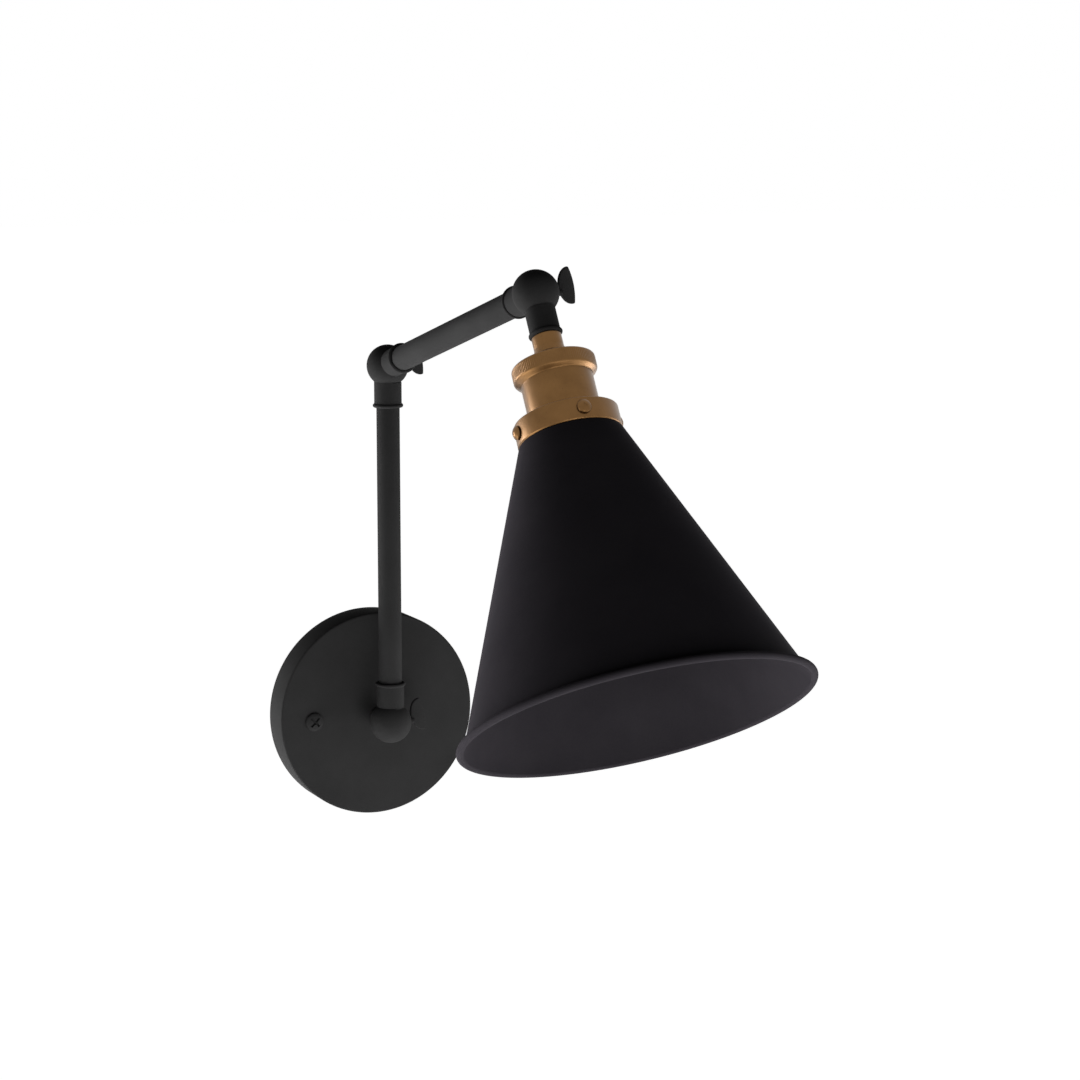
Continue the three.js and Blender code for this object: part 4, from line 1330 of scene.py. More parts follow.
@dataclass
class WallPlate(Assembly):
    """Round dish on the wall with its bracket, screws, connectors and leads.

    A connector's shares are how much of its length is straight, and how much is bored.
    """

    depth: float
    radius: float = 63.5
    wall: float = 1.2
    edge: float = 1.2
    drop: float = 1.4
    screw_reach: float = 42.2
    screw_past: float = 1.75
    ear_gap: float = 6.4
    ear_length: float = 12.0
    half_span: float = 50.0
    bar_width: float = 19.0
    bar: float = 2.0
    slot_spacing: float = 88.9
    lug: Triple = (9.0, 10.0, 2.0)
    hook_overlap: float = 2.7
    stud_hole: float = 4.8
    screw_hole: float = 2.3
    ground_hole: float = 1.9
    ground_reach: float = 24.0
    connector_spacing: float = 19.0
    connector_top: float = -21.0
    connector_length: float = 15.0
    connector_radius: float = 5.0
    connector_wall: float = 1.4
    connector_taper: float = 1.8
    connector_shares: Point = (0.4, 0.7)
    connector_ribs: int = 14
    rib_depth: float = 0.42
    lead: float = 0.9
    lead_spread: float = 1.3
    stud_end: float = 7.5
    bend: float = 2.5
    box_slot: Triple = (5.0, 2.3, 2.25)
    station: Station = field(default_factory=lambda: Station(Vector(), math.pi / 2, Body.WALL))

    def build(self) -> None:
        """Makes every piece that stays on the wall."""
        self.publish("backplate", self.dish())
        self.publish("wall_bracket", self.bracket(), ZINC)
        self.fasteners()
        self.wiring()

    @property
    def ear(self) -> float:
        """Height of the bracket's ear and hook off the wall."""
        return self.depth - self.wall - self.ear_gap

    def dish(self) -> Solid:
        """The dish with its lug and holes.

        Returns:
            The dish.
        """
        inner = self.radius - self.wall
        face = self.depth - self.wall
        section = [(0, self.depth), (self.radius, self.depth, self.edge), (self.radius, 0, 0.3),
                   (inner, 0, 0.3), (inner, face, 0.9), (0, face)]
        shell = Solid.lathed(section, 224)
        length, width, thick = self.lug
        top = self.ear - self.bar - GAP
        near, far = inner - length, inner + self.wall / 2
        lug = Solid.block((near, -width / 2, top - thick), (far, width / 2, top), 0.3)
        stud = Solid.drill(self.stud_hole, face, self.depth).at(spot(y=-self.drop))
        screw = Solid.drill(self.screw_hole, face, self.depth)
        return shell + lug - stud - screw.at(spot(-self.screw_reach, -self.drop))

    def bracket(self) -> Solid:
        """Cross of flat bar with a bent screw ear and a bent hook.

        Returns:
            The bracket.
        """
        half, span, bar, ear = self.bar_width / 2, self.half_span, self.bar, self.ear
        tip = self.radius - self.wall - self.lug[0] + self.hook_overlap
        bent = self.bend
        end, under = self.ear_length - span, ear - bar
        strip = [
            (end, ear, 0.35), (-span, ear, bent), (-span, 0, bent), (span, 0, bent),
            (span, under, 0.5), (tip, under, 0.35), (tip, ear, 0.35), (span - bar, ear, bent),
            (span - bar, bar, 0.5), (bar - span, bar, 0.5), (bar - span, under, 0.5),
            (end, under, 0.35),
        ]
        level = Solid.slab(strip, -half, half, 0.25).at(spot(turn=(90, 0, 0)))
        upright = Solid.slab(oblong(half, span, 2), 0, bar, 0.25)
        slot = Solid.slab(oblong(*self.box_slot), -PAST, bar + PAST)
        slots = [spot(y=side * self.slot_spacing / 2) for side in (-1, 1)]
        cross = (level + upright).cut(slot, slots)
        screw = Solid.drill(self.screw_hole, under, ear).at(spot(-self.screw_reach, -self.drop))
        return cross - screw - Solid.drill(self.ground_hole, 0, bar).at(spot(self.ground_reach))

    def fasteners(self) -> None:
        """The plate screw and the earthing screw."""
        seat = self.depth + LIFT
        length = seat - self.ear + self.bar + self.screw_past
        plate = DomedScrew(head_radius=5.7, head_height=2.6, radius=2.0, length=length)
        self.publish("plate_screw", plate.solid().at(spot(-self.screw_reach, -self.drop, seat)))
        ground = DomedScrew(head_radius=3.4, head_height=1.8, radius=1.6, length=self.bar + LIFT)
        place = spot(self.ground_reach, 0, self.bar + GAP)
        self.publish("ground_screw", ground.solid().at(place), EARTH_SCREW)

    def connector(self) -> Solid:
        """A ribbed twist-on connector, mouth at z = 0 and tip down -Z.

        Returns:
            The connector.
        """
        length, radius = self.connector_length, self.connector_radius
        bore = radius - self.connector_wall
        taper = self.connector_taper
        straight, deep = self.connector_shares
        side = [(radius, -length * straight * i / 6) for i in range(1, 7)]
        cone = [(radius - taper * i / 10, -length * (straight + (1 - straight) * i / 10))
                for i in range(1, 10)]
        outline = [(radius, 0, 0.35), *side, *cone, (radius - taper, -length, 0.9), (0, -length),
                   (0, -length * deep), (bore, -length * straight), (bore, 0, 0.3)]

        def rib(_: float, angle: float) -> float:
            """The share of a rib's depth at a place."""
            return (0.5 + 0.5 * math.cos(self.connector_ribs * angle)) ** 1.6

        plain_from = radius - taper - 0.1
        ribs = grooved(self.rib_depth, rib, (0.6 - length, 1.5), (-1.6, 1.5), plain_from)
        return Solid.lathed(outline, 168, ribs)

    def wire(self, column: int) -> Solid:
        """A lead from inside the stud, out of its end and down into a connector.

        Args:
            column: -1, 0 or 1, from left to right.

        Returns:
            The lead.
        """
        angle = math.radians(-90 + 120 * column)
        across = self.lead_spread * math.cos(angle)
        up = self.lead_spread * math.sin(angle) - self.drop
        mouth = column * self.connector_spacing
        deep = (self.depth - self.wall) / 2
        route = [
            (across, up, self.stud_end + 9), (across, up, self.stud_end),
            (across + column * 1.5, up - 3, self.stud_end - 3),
            (mouth * 0.85, self.connector_top + 6, deep - self.lead),
            (mouth, self.connector_top - self.connector_length / 4, deep),
        ]
        return Solid.swept(route, self.lead)

    def wiring(self) -> None:
        """The three leads and their connectors."""
        deep = (self.depth - self.wall) / 2
        rows = [("hot", -1, CAP_ORANGE, VINYL_BLACK), ("neutral", 0, CAP_ORANGE, VINYL_WHITE),
                ("ground", 1, CAP_GREEN, VINYL_GREEN)]
        for name, column, cap, vinyl in rows:
            place = spot(column * self.connector_spacing, self.connector_top, deep, (-90, 0, 0))
            self.publish(f"{name}_wire_connector", self.connector().at(place), cap, 50)
            self.publish(f"{name}_plate_lead", self.wire(column), vinyl)


@dataclass
class SwivelBase(Assembly):
    """The base that turns in the plate's hole: half ball, neck, stud, washers and nut."""

    origin: Vector
    standoff: float
    plate_depth: float
    neck: float = 5.6
    stud: float = 4.5
    pitch: float = 0.95
    bore: float = 3.0
    stud_end: float = 7.5
    washer_from: float = 18.1
    washer_bore: float = 4.8
    toothed_thickness: float = 0.8
    teeth: int = 12
    tooth_radii: tuple[float, float] = (8.2, 6.9)
    flat_washer: tuple[float, float] = (10.0, 1.0)
    nut: Nut = field(default_factory=lambda: Nut(15, 3, 4.8))
    thread_depth: float = 0.32
    chamfer: float = 0.4
    knuckle: Knuckle = field(default_factory=Knuckle)

    def build(self) -> None:
        """Makes the swivel's pieces."""
        self.station = Station(self.origin, math.pi / 2, Body.SWIVEL)
        self.publish("base_knuckle_wall_half", self.casting())
        radius, thick = self.flat_washer
        start = self.washer_from
        flat = Solid.rod(radius, start, start + thick, self.washer_bore, segments=96)
        self.publish("swivel_flat_washer", flat, ZINC)
        toothed = start - GAP - self.toothed_thickness
        self.publish("swivel_tooth_washer", self.tooth_washer(toothed), ZINC)
        self.publish("swivel_locknut", self.nut.solid(toothed - GAP - self.nut.height), ZINC)
        self.dress(FIBRE, "base_friction_washer")

    def casting(self) -> Solid:
        """The wall half of the base knuckle with its threaded stud.

        Returns:
            The casting.
        """
        neck_end = self.standoff - self.plate_depth - GAP
        stud_end = self.standoff - self.stud_end
        tail = [(self.neck, neck_end, 0.3), (self.stud, neck_end),
                (self.stud, stud_end - self.chamfer), (self.stud - self.chamfer, stud_end)]
        half = self.knuckle.half(Side.TAPPED, tail, self.neck, self.bore, self.bore, neck_end)
        low, high, far = neck_end + 1.5, stud_end + 0.5, self.stud + 1
        die = [(far, low), (far, high), *flights(self.stud + 0.01, high, low, self.pitch)]
        threads = Solid.lathed(die, 72, thread(self.pitch, self.thread_depth, low, high))
        return (half - threads).at(spot(z=self.standoff, turn=(180, 0, 0)))

    def tooth_washer(self, start: float) -> Solid:
        """A washer with blunt teeth all round.

        Args:
            start: Height of its lower face.

        Returns:
            The washer.
        """
        shape = []
        tip, root = self.tooth_radii
        for i in range(self.teeth):
            for part, radius in ((0.10, tip), (0.42, tip), (0.55, root), (0.95, root)):
                angle = 2 * math.pi * (i + part) / self.teeth
                shape.append((radius * math.cos(angle), radius * math.sin(angle)))
        washer = Solid.slab(shape, start, start + self.toothed_thickness)
        return washer - Solid.drill(self.washer_bore, start, start + self.toothed_thickness)


@dataclass
class Arm(Assembly):
    """A tube arm from one ball centre to the next, with its two castings."""

    start: Vector
    end: Vector
    body: Body
    tube: float
    near_node: str
    tube_node: str
    far_node: str
    kept: dict[str, Finish]
    tube_wall: float = 1.0
    knuckle: Knuckle = field(default_factory=Knuckle)

    def build(self) -> None:
        """Makes the arm's pieces."""
        run = self.end - self.start
        length = run.length / MM
        self.station = Station.towards(self.start, run, self.body)
        socket = self.tube + GAP
        near = self.knuckle.lipped(Side.DRILLED, socket)
        far = self.knuckle.lipped(Side.TAPPED, socket).at(spot(z=length, turn=(180, 0, 0)))
        seat = self.knuckle.seat
        bar = Solid.rod(self.tube, seat, length - seat, self.tube - self.tube_wall, 0.2, 128)
        self.publish(self.near_node, near)
        self.publish(self.tube_node, bar)
        self.publish(self.far_node, far)
        for node, finish in self.kept.items():
            self.dress(finish, node)


@dataclass
class WingScrew(Assembly):
    """A thumb screw on a knuckle's axis with an off-centre half-moon wing."""

    node: str
    origin: Vector
    body: Body
    radius: float = 2.0
    depth: float = 9.4
    inner: float = 13.1
    reach: float = 9.2
    bulge: float = 1.4
    half_width: float = 10.2
    offset: float = 3.2
    thickness: float = 2.2
    tip_round: float = 0.9
    tilt: float = 12.5
    pitch: float = 0.7
    thread_depth: float = 0.22
    chamfer: float = 0.4

    def outline(self) -> list[Point]:
        """Half moon round its own middle, with the ball towards -X.

        Returns:
            The wing's points, counter-clockwise.
        """
        curve = (self.half_width ** 2 + self.bulge ** 2) / (2 * self.bulge)
        curve_x = self.reach / 2 - curve
        tip_y = self.half_width - self.tip_round
        tip_x = curve_x + math.sqrt((curve - self.tip_round) ** 2 - tip_y ** 2)
        ends = math.degrees(math.atan2(tip_y, tip_x - curve_x))
        turns = [math.radians(a) for a in range(94, 270, 4)]
        far = tip_x + self.reach / 2
        back = [(tip_x + far * math.cos(turn), self.half_width * math.sin(turn)) for turn in turns]
        front = arc(curve_x, 0, curve, -ends, ends, 20)
        upper = arc(tip_x, tip_y, self.tip_round, ends, 90, 6)
        lower = arc(tip_x, -tip_y, self.tip_round, -90, -ends, 6)
        return [*front, *upper[1:], *back, *lower[:-1]]

    def build(self) -> None:
        """Makes the screw."""
        half = self.thickness / 2
        blade = Solid.slab(self.outline(), -half, half, half * 0.72, 5)
        blade = blade.at(spot(self.inner + self.reach / 2, self.offset, turn=(0, 0, self.tilt)))
        tip = self.inner + self.radius
        side = flights(self.radius, -self.depth + self.chamfer, tip, self.pitch)
        outline = [(0, -self.depth), (self.radius - self.chamfer, -self.depth), *side, (0, tip)]
        relief = thread(self.pitch, self.thread_depth, -self.depth, self.inner - 3)
        shank = Solid.lathed(outline, 40, relief)
        whole = blade.at(spot(turn=(90, 0, 0))) + shank.at(spot(turn=(0, 90, 0)))
        self.station = Station(self.origin, 0.0, self.body)
        self.publish(self.node, whole, crease=40)


@dataclass
class LampHead(Assembly):
    """The head: knuckle half, brass socket, fitter ring, shade and its screws.

    Heights run along the head's axis from the ball's centre.
    """

    origin: Vector
    axis: Vector
    neck: float = 8.05
    neck_length: float = 6.8
    flare_length: float = 5.0
    flare_width: float = 4.15
    flare_lip: tuple[float, float] = (3.5, 0.62)
    shoulder: float = 3.5
    skirt: float = 7.1
    shell: float = 19.3
    shell_wall: float = 0.8
    shell_length: float = 49.0
    shell_drop: float = 2.1
    knurl_teeth: int = 116
    knurl_depth: float = 0.17
    fitter_place: float = 29.4
    fitter_length: float = 12.2
    fitter_flange: float = 8.65
    fitter_wall: float = 1.35
    screw_depth: float = 5.9
    screw_turn: float = 6.0
    shade_wall: float = 0.8
    shade_inset: float = 0.15
    shade_length: float = 154.4
    rim: float = 93.35
    bead: float = 1.9
    thread_radius: float = 13.8
    thread_pitch: float = 3.63
    thread_turns: int = 6
    thread_depth: float = 0.75
    thread_wall: float = 0.45
    bore: float = 5.3
    cap_floor: tuple[float, float] = (9.5, 4.2)
    knurl_round: float = 1.3
    insulator_drop: float = 4.5
    insulator_floor: float = 8.5
    insulator_tail: float = 2.0
    terminal: tuple[float, float, float] = (1.6, 4.3, 10.5)
    stem: float = 1.2
    contact_disc: float = 4.0
    nut: tuple[float, float] = (3.2, 4.5)
    notches: int = 6
    notch_width: float = 2.8
    screw_count: int = 4
    screw_hole: float = 1.9
    knuckle: Knuckle = field(default_factory=Knuckle)

    def __post_init__(self) -> None:
        """Works out the heights that follow from the sizes."""
        self.station = Station.towards(self.origin, self.axis, Body.HEAD)
        self.brass = AntiqueBrass.turned(tuple(self.origin), self.station.lean)
        self.cap_start = self.knuckle.lip_end + GAP
        self.neck_end = self.cap_start + self.neck_length
        self.shoulder_start = self.neck_end + self.flare_length
        self.shoulder_end = self.shoulder_start + self.shoulder
        self.cap_end = self.shoulder_end + self.skirt
        self.skirt_radius = self.shell + GAP + self.shell_wall
        self.shell_start = self.shoulder_end + self.shell_drop
        self.shell_end = self.shell_start + self.shell_length
        self.fitter_start = self.shell_start + self.fitter_place
        self.fitter_end = self.fitter_start + self.fitter_length
        self.fitter = self.shell + self.fitter_flange
        self.shade_start = self.fitter_end + GAP
        self.rim_end = self.shade_start + self.shade_length
        self.screws = self.fitter_start + self.screw_depth

    def build(self) -> None:
        """Makes every piece of the head."""
        self.publish("head_knuckle_head_half", self.knuckle.lipped(Side.DRILLED, self.bore))
        self.publish("socket_cap", self.cap(), self.brass, 26)
        self.publish("knurled_ring", self.knurled(), self.brass, 40)
        self.publish("socket_shell", self.sleeve(), self.brass)
        self.publish("socket_insulator", self.insulator(), PORCELAIN)
        self.publish("lamp_screw_shell", self.screw_shell(), self.brass, 70)
        self.publish("centre_contact", self.contact(), self.brass)
        self.publish("fitter_ring", self.drilled(self.fitter_ring()), self.brass)
        self.publish("fitter_ring_nut", self.ring_nut(), self.brass, 40)
        self.publish("shade", self.drilled(self.cone()), SHADE_COAT)
        self.shade_screws()
        self.dress(ZINC, "head_nipple", "head_locknut")
        self.dress(ZINC, "hot_terminal_screw", "neutral_terminal_screw")
        self.dress(VINYL_BLACK, "hot_socket_lead")
        self.dress(VINYL_WHITE, "neutral_socket_lead")

    def cap(self) -> Solid:
        """Spun brass cap: a straight neck, a flare, a sloping shoulder and a thin skirt.

        Returns:
            The cap.
        """
        lip_long, lip_wide = self.flare_lip
        flare = self.neck + self.flare_width
        inside = self.shell + GAP
        floor_radius, floor_drop = self.cap_floor
        seat = self.neck_end + floor_drop
        top, bottom = self.shoulder_start, self.shoulder_end
        outline = [
            (self.bore, self.cap_start, 0.2), (self.neck, self.cap_start, 0.4),
            (self.neck, self.neck_end, 0.5), (self.neck + lip_wide, self.neck_end + lip_long, 0.6),
            (flare, top, 0.8), (self.skirt_radius, bottom, 0.8), (self.skirt_radius, self.cap_end),
            (inside, self.cap_end), (inside, bottom + 1.5, 0.4), (flare - 0.75, top + 1.5, 0.5),
            (floor_radius, seat), (self.bore, seat),
        ]
        return Solid.lathed(outline, LARGE)

    def knurled(self) -> Solid:
        """Straight-knurled ring that grips the cap's skirt.

        Returns:
            The ring.
        """
        inner = self.skirt_radius + GAP
        outer = inner + 1.8
        start = self.shoulder_end + 0.4
        foot_top = self.cap_end + GAP
        bend = self.knurl_round
        end = foot_top + bend
        foot = self.shell + 0.08
        corner = arc(outer - bend, start + bend, bend, -90, 0, 8)
        side = [(outer, start + bend + (end - 1.35 - start - bend) * i / 6) for i in range(1, 7)]
        rim = [(outer - 0.12, end - 0.95), (outer - 0.9, end + 0.05), (foot + 0.5, end + 1.1)]

        def tooth(_: float, angle: float) -> float:
            """The share of a tooth's depth at a place."""
            return abs(((self.knurl_teeth * angle / (2 * math.pi)) % 1) * 2 - 1)

        teeth = grooved(self.knurl_depth, tooth, (start + 0.9, 0.9), (end - 0.95, 0.5), outer - 1.2)
        outline = [(inner, start, 0.15), *corner, *side, *rim, (foot, end + 1.7),
                   (foot, foot_top), (inner, foot_top)]
        return Solid.lathed(outline, self.knurl_teeth * 6, teeth)

    def sleeve(self) -> Solid:
        """Straight brass shell of the socket, its edges eased.

        Returns:
            The shell.
        """
        inner = self.shell - self.shell_wall
        start, end = self.shell_start, self.shell_end
        outline = [
            (self.shell, start, 0.2), (self.shell, end, 0.5), (inner, end, 0.2), (inner, start, 0.2)
        ]
        return Solid.lathed(outline, 160)

    def insulator(self) -> Solid:
        """Porcelain body: solid at the top, bored for the screw shell below.

        Returns:
            The body.
        """
        start = self.shell_start + self.insulator_drop
        floor = start + self.insulator_floor
        end = self.shell_end - self.insulator_tail
        radius = self.shell - self.shell_wall - GAP
        bore = self.thread_radius + 0.4
        outline = [(0, start), (radius, start, 0.8), (radius, end, 1.2), (bore, end, 1.2),
                   (bore, floor, 0.5), (0, floor)]
        cup = Solid.lathed(outline, LARGE)
        hole, deep, across = self.terminal
        pocket = Solid.rod(hole, start - PAST, start + deep, ease=0, segments=32)
        middle = Solid.drill(self.stem + GAP, start, floor, 32)
        return (cup - middle).cut(pocket, [spot(side * across) for side in (-1, 1)])

    def screw_shell(self) -> Solid:
        """Thin sleeve with a rolled helical thread for a medium base lamp.

        Returns:
            The sleeve.
        """
        end = self.shell_end - self.insulator_tail - 3
        start = end - self.thread_turns * self.thread_pitch
        count = 12 * self.thread_turns
        rows = [start + (end - start) * i / count for i in range(count + 1)]
        outside = [(self.thread_radius, height) for height in rows]
        inside = [(self.thread_radius - self.thread_wall, height) for height in reversed(rows)]

        roll = thread(self.thread_pitch, self.thread_depth, start, end, run_out=2.0, side=-1)
        return Solid.lathed(outside + inside, 96, roll)

    def contact(self) -> Solid:
        """Centre contact: a domed disc on the insulator's floor with a stem through it.

        Returns:
            The contact.
        """
        start = self.shell_start + self.insulator_drop
        face = start + self.insulator_floor + GAP
        stem, disc = self.stem, self.contact_disc
        outline = [(0, start - 1), (stem, start - 1, 0.3), (stem, face), (disc, face, 0.15),
                   (disc, face + 0.4, 0.2), (disc - 1, face + 0.62, 0.4), (0, face + 0.8)]
        return Solid.lathed(outline, SMALL)

    def fitter_ring(self) -> Solid:
        """Turned ring that carries the shade: a flat top round the socket and a straight side.

        Returns:
            The ring, not yet drilled.
        """
        inner = self.fitter - self.fitter_wall
        bore = self.shell + GAP
        start, end = self.fitter_start, self.fitter_end
        return Solid.lathed(
            [(bore, start, 0.3), (self.fitter, start, 0.9), (self.fitter, end - 0.7, 0.1),
             (self.fitter - 0.6, end, 0.1), (inner, end, 0.2),
             (inner, start + self.fitter_wall, 0.5), (bore, start + self.fitter_wall, 0.2)], 192,
        )

    def ring_nut(self) -> Solid:
        """Notched nut under the fitter ring.

        Returns:
            The nut.
        """
        bore = self.shell + GAP
        start = self.fitter_start + self.fitter_wall + GAP
        wide, high = self.nut
        ring = Solid.rod(bore + wide, start, start + high, bore, 0.35, LARGE)
        half = self.notch_width / 2
        notch = Solid.block((bore + 1.8, -half, start + 2), (bore + 5, half, start + 6))
        step = 360 / self.notches
        return ring.cut(notch, [spot(turn=(0, 0, step * (i + 0.5))) for i in range(self.notches)])

    def cone_radius(self, place: float) -> float:
        """Outside of the shade's cone at a height.

        Args:
            place: Height along the axis.

        Returns:
            The radius.
        """
        top = self.fitter - self.shade_inset
        end = self.rim_end - self.bead
        spread = self.rim - 2 * self.bead - top
        return top + spread * (place - self.shade_start) / (end - self.shade_start)

    def cone(self) -> Solid:
        """Spun shade: a collar inside the fitter ring, a straight cone and a rolled rim.

        Returns:
            The shade, not yet drilled.
        """
        wall = self.shade_wall
        collar = self.fitter - self.fitter_wall - GAP
        top = self.fitter_start + 3.2
        start, bead = self.shade_start, self.bead
        centre = self.rim - bead
        place = self.rim_end - bead
        rows = [start + (place - bead - start) * i / 10 for i in range(1, 11)]
        outside = [(self.cone_radius(row), row) for row in rows]
        roll = arc(centre, place, bead, -155, 90, 22)
        turns = [math.radians(a) for a in range(9, 91, 9)]
        under = [(centre - (bead + 0.2) * math.sin(t), place + bead * math.cos(t)) for t in turns]
        inside_start = start + 1.5 * wall
        inside = [(self.cone_radius(row) - wall, row) for row in reversed(rows)]
        return Solid.lathed(
            [
                (collar - wall, top, 0.2), (collar, top, 0.2), (collar, start),
                (self.fitter - self.shade_inset, start, 0.3), *outside, *roll, *under, *inside[1:],
                (self.cone_radius(inside_start) - wall * 1.5, inside_start, 0.6),
                (collar - wall, inside_start - wall),
            ],
            2 * LARGE,
        )

    def drilled(self, solid: Solid) -> Solid:
        """A solid with the shade screws' holes through it."""
        hole = Solid.drill(self.screw_hole, self.fitter - 4, self.fitter, 32)
        return solid.cut(hole.at(spot(turn=(0, 90, 0))), self.screw_places())

    def screw_places(self) -> list[Matrix]:
        """Where the shade screws stand round the axis, each pointing along +X."""
        turns = [self.screw_turn + 360 / self.screw_count * i for i in range(self.screw_count)]
        return [spot(z=self.screws, turn=(0, 0, turn)) for turn in turns]

    def shade_screws(self) -> None:
        """Four brass screws round the ring."""
        screw = DomedScrew(head_radius=3.9, head_height=2.7, radius=1.6, length=4.5, side=0.45,
                           recess=0.1, crown=0.9, taper=2.0)
        radial = screw.solid().at(spot(z=self.fitter + LIFT)).at(spot(turn=(0, 90, 0)))
        for i, place in enumerate(self.screw_places(), 1):
            self.publish(f"shade_screw_{i}", radial.at(place), self.brass)


# Studio


class Ring(Enum):
    """Rings of lamps round the sconce: degrees above its middle, and distance in metres."""

    LEVEL = (-13.0, 2.3)
    LOW = (-38.0, 1.75)


@dataclass(frozen=True)
class Panel:
    """A soft square lamp aimed at the sconce; its turn is 0 behind the wall and 90 at the right."""

    ring: Ring
    turn: float
    watts: float
    mirrored: bool = False

    @property
    def name(self) -> str:
        """The lamp's name."""
        return f"lamp_{self.ring.name.lower()}_{self.turn:.0f}"

    def place(self, aim: Vector) -> Vector:
        """Where the lamp stands round the point it lights.

        Args:
            aim: The point it lights.

        Returns:
            The place in metres.
        """
        degrees, distance = self.ring.value
        height, turn = math.radians(degrees), math.radians(self.turn)
        level = math.cos(height)
        outward = Vector((math.sin(turn) * level, math.cos(turn) * level, math.sin(height)))
        return aim + outward * distance


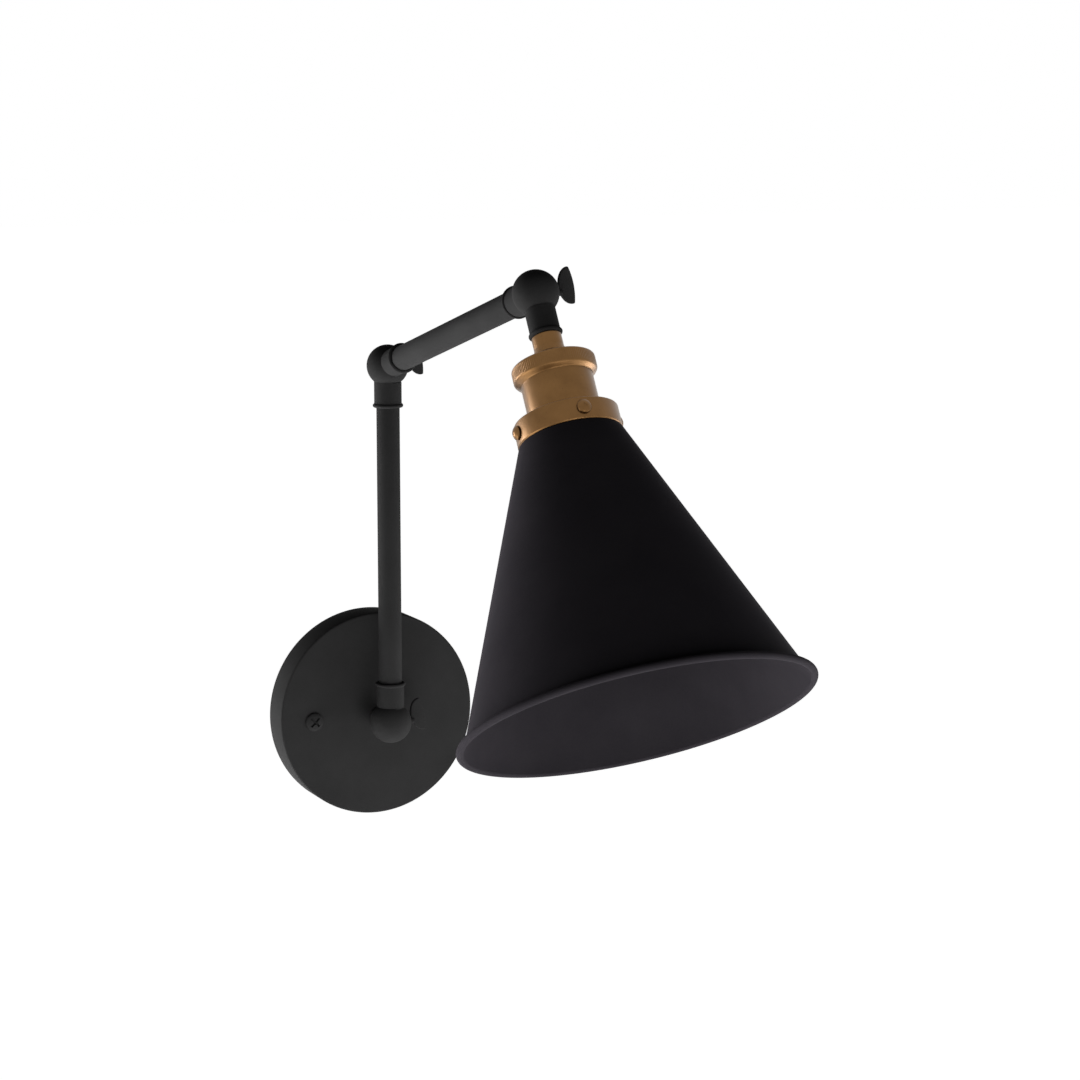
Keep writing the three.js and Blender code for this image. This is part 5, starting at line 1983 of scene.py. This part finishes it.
@dataclass
class Studio:
    """Camera, floor, lamps and surroundings."""

    eye: Triple = (-0.61568, -1.53422, 0.36849)
    yaw: float = 0.4481
    pitch: float = -0.1578
    lens_mm: float = 89.48
    sensor_mm: float = 36.0
    clip: tuple[float, float] = (0.02, 200.0)
    aim: Triple = (0.0, -0.2, 0.1)
    floor_drop: float = 1.4
    floor_half: float = 40.0
    floor_tones: tuple[float, float] = (0.78, 0.82)
    floor_glow: tuple[float, float] = (0.88, 1.0)
    floor_reach: tuple[float, float] = (2.0, 4.0)
    ambient: tuple[float, float] = (0.15, 0.012)
    fade: tuple[float, float] = (0.08, 0.35)
    panel_side: float = 1.0
    panels: tuple[Panel, ...] = (
        Panel(Ring.LEVEL, 0, 17.2), Panel(Ring.LEVEL, 90, 8.2), Panel(Ring.LEVEL, 135, 9.2),
        Panel(Ring.LEVEL, 180, 5.9), Panel(Ring.LEVEL, 225, 10.2),
        Panel(Ring.LEVEL, 315, 36.4, mirrored=True),
        Panel(Ring.LOW, 90, 24.0, mirrored=True), Panel(Ring.LOW, 135, 4.2, mirrored=True),
        Panel(Ring.LOW, 180, 11.4, mirrored=True), Panel(Ring.LOW, 270, 10.5, mirrored=True),
        Panel(Ring.LOW, 315, 42.7),
    )

    def build(self) -> None:
        """Makes the studio."""
        self.camera()
        self.floor()
        self.surroundings()
        for panel in self.panels:
            self.lamp(panel)
        bpy.context.scene.view_settings.view_transform = "Standard"

    def camera(self) -> None:
        """A long lens at a little above the sconce's middle, turned towards it."""
        data = bpy.data.cameras.new("camera")
        data.sensor_width = self.sensor_mm
        data.lens = self.lens_mm
        data.clip_start, data.clip_end = self.clip
        camera = linked("camera", data)
        level = math.cos(self.pitch)
        across, along = math.sin(self.yaw) * level, math.cos(self.yaw) * level
        forward = Vector((across, along, math.sin(self.pitch)))
        camera.location = self.eye
        camera.rotation_euler = forward.to_track_quat("-Z", "Y").to_euler()
        bpy.context.scene.camera = camera

    def floor(self) -> None:
        """A wide pale floor that shows near white and still takes a soft shadow."""
        shader = Shader("pale_floor")
        place = shader.place()
        grain = shader.noise(place, 7.0, 4.0)
        low, high = ((tone,) * 3 for tone in self.floor_tones)
        shader.set(Base_Color=shader.blend(grain, low, high), Roughness=0.9, Specular_IOR_Level=0.0)
        level = shader.smooth(shader.length(place), self.floor_reach, self.floor_glow)
        strength = level * shader.seen()
        glow = shader.node("ShaderNodeEmission", {}, {"Strength": strength}, "Emission")
        matt = Value(shader, shader.surface.outputs["BSDF"])
        mixed = shader.node("ShaderNodeAddShader", {}, {0: matt, 1: glow}, "Shader")
        output = next(node for node in shader.tree.nodes if node.type == "OUTPUT_MATERIAL")
        shader.feed(output.inputs["Surface"], mixed)
        work = bmesh.new()
        square = oblong(self.floor_half, self.floor_half)
        work.faces.new([work.verts.new((x, y, -self.floor_drop)) for x, y, _ in square])
        mesh = bpy.data.meshes.new("floor")
        work.to_mesh(mesh)
        work.free()
        mesh.materials.append(shader.material)
        floor = linked("floor", mesh)

    def surroundings(self) -> None:
        """A room that is white where it is seen and dim as a light, more so overhead."""
        world = bpy.data.worlds.new("room")
        world.use_nodes = True
        bpy.context.scene.world = world
        room = NodeTree(world.node_tree)
        way = room.node("ShaderNodeTexCoord", output="Generated")
        height = room.node("ShaderNodeSeparateXYZ", {}, {"Vector": way}, "Z")
        strength = room.seen() + room.ray("Diffuse") * room.smooth(height, self.fade, self.ambient)
        inputs = {"Color": (1.0, 1.0, 1.0), "Strength": strength}
        light = room.node("ShaderNodeBackground", {}, inputs, "Background")
        room.node("ShaderNodeOutputWorld", {}, {"Surface": light})

    def lamp(self, panel: Panel) -> None:
        """One soft square lamp.

        Args:
            panel: Its place and power.
        """
        data = bpy.data.lights.new(panel.name, "AREA")
        data.shape = "SQUARE"
        data.size = self.panel_side
        data.energy = panel.watts
        lamp = linked(panel.name, data)
        aim = Vector(self.aim)
        lamp.location = panel.place(aim)
        lamp.rotation_euler = (aim - lamp.location).to_track_quat("-Z", "Y").to_euler()
        lamp.visible_camera = False
        lamp.visible_glossy = panel.mirrored


# The whole sconce


def main() -> None:
    """Builds the sconce and its studio."""
    logging.basicConfig(level=logging.INFO, format="%(name)s: %(message)s")
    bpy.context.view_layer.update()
    bones = Skeleton.read()
    face = -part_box("backplate")[0][1] / MM
    WallPlate(depth=face).build()
    swivel_at = Vector((0, 0, bones.base.z))
    SwivelBase(origin=swivel_at, standoff=-bones.base.y / MM, plate_depth=face).build()
    Arm(
        bones.base, bones.middle, Body.LOWER, tube=7.03, near_node="base_knuckle_arm_half",
        tube_node="lower_tube", far_node="middle_knuckle_lower_half",
        kept={"lower_arm_cable": VINYL_BLACK, "middle_friction_washer": FIBRE},
    ).build()
    Arm(
        bones.middle, bones.head, Body.UPPER, tube=7.46, near_node="middle_knuckle_upper_half",
        tube_node="upper_tube", far_node="head_knuckle_arm_half",
        kept={"upper_arm_cable": VINYL_BLACK, "head_friction_washer": FIBRE},
    ).build()
    WingScrew("base_wing_screw", bones.base, Body.BASE_WING).build()
    WingScrew("middle_wing_screw", bones.middle, Body.MIDDLE_WING).build()
    WingScrew("head_wing_screw", bones.head, Body.HEAD_WING).build()
    LampHead(bones.head, bones.head_axis).build()
    Studio().build()
    bpy.context.view_layer.update()


if __name__ == "__main__":
    main()
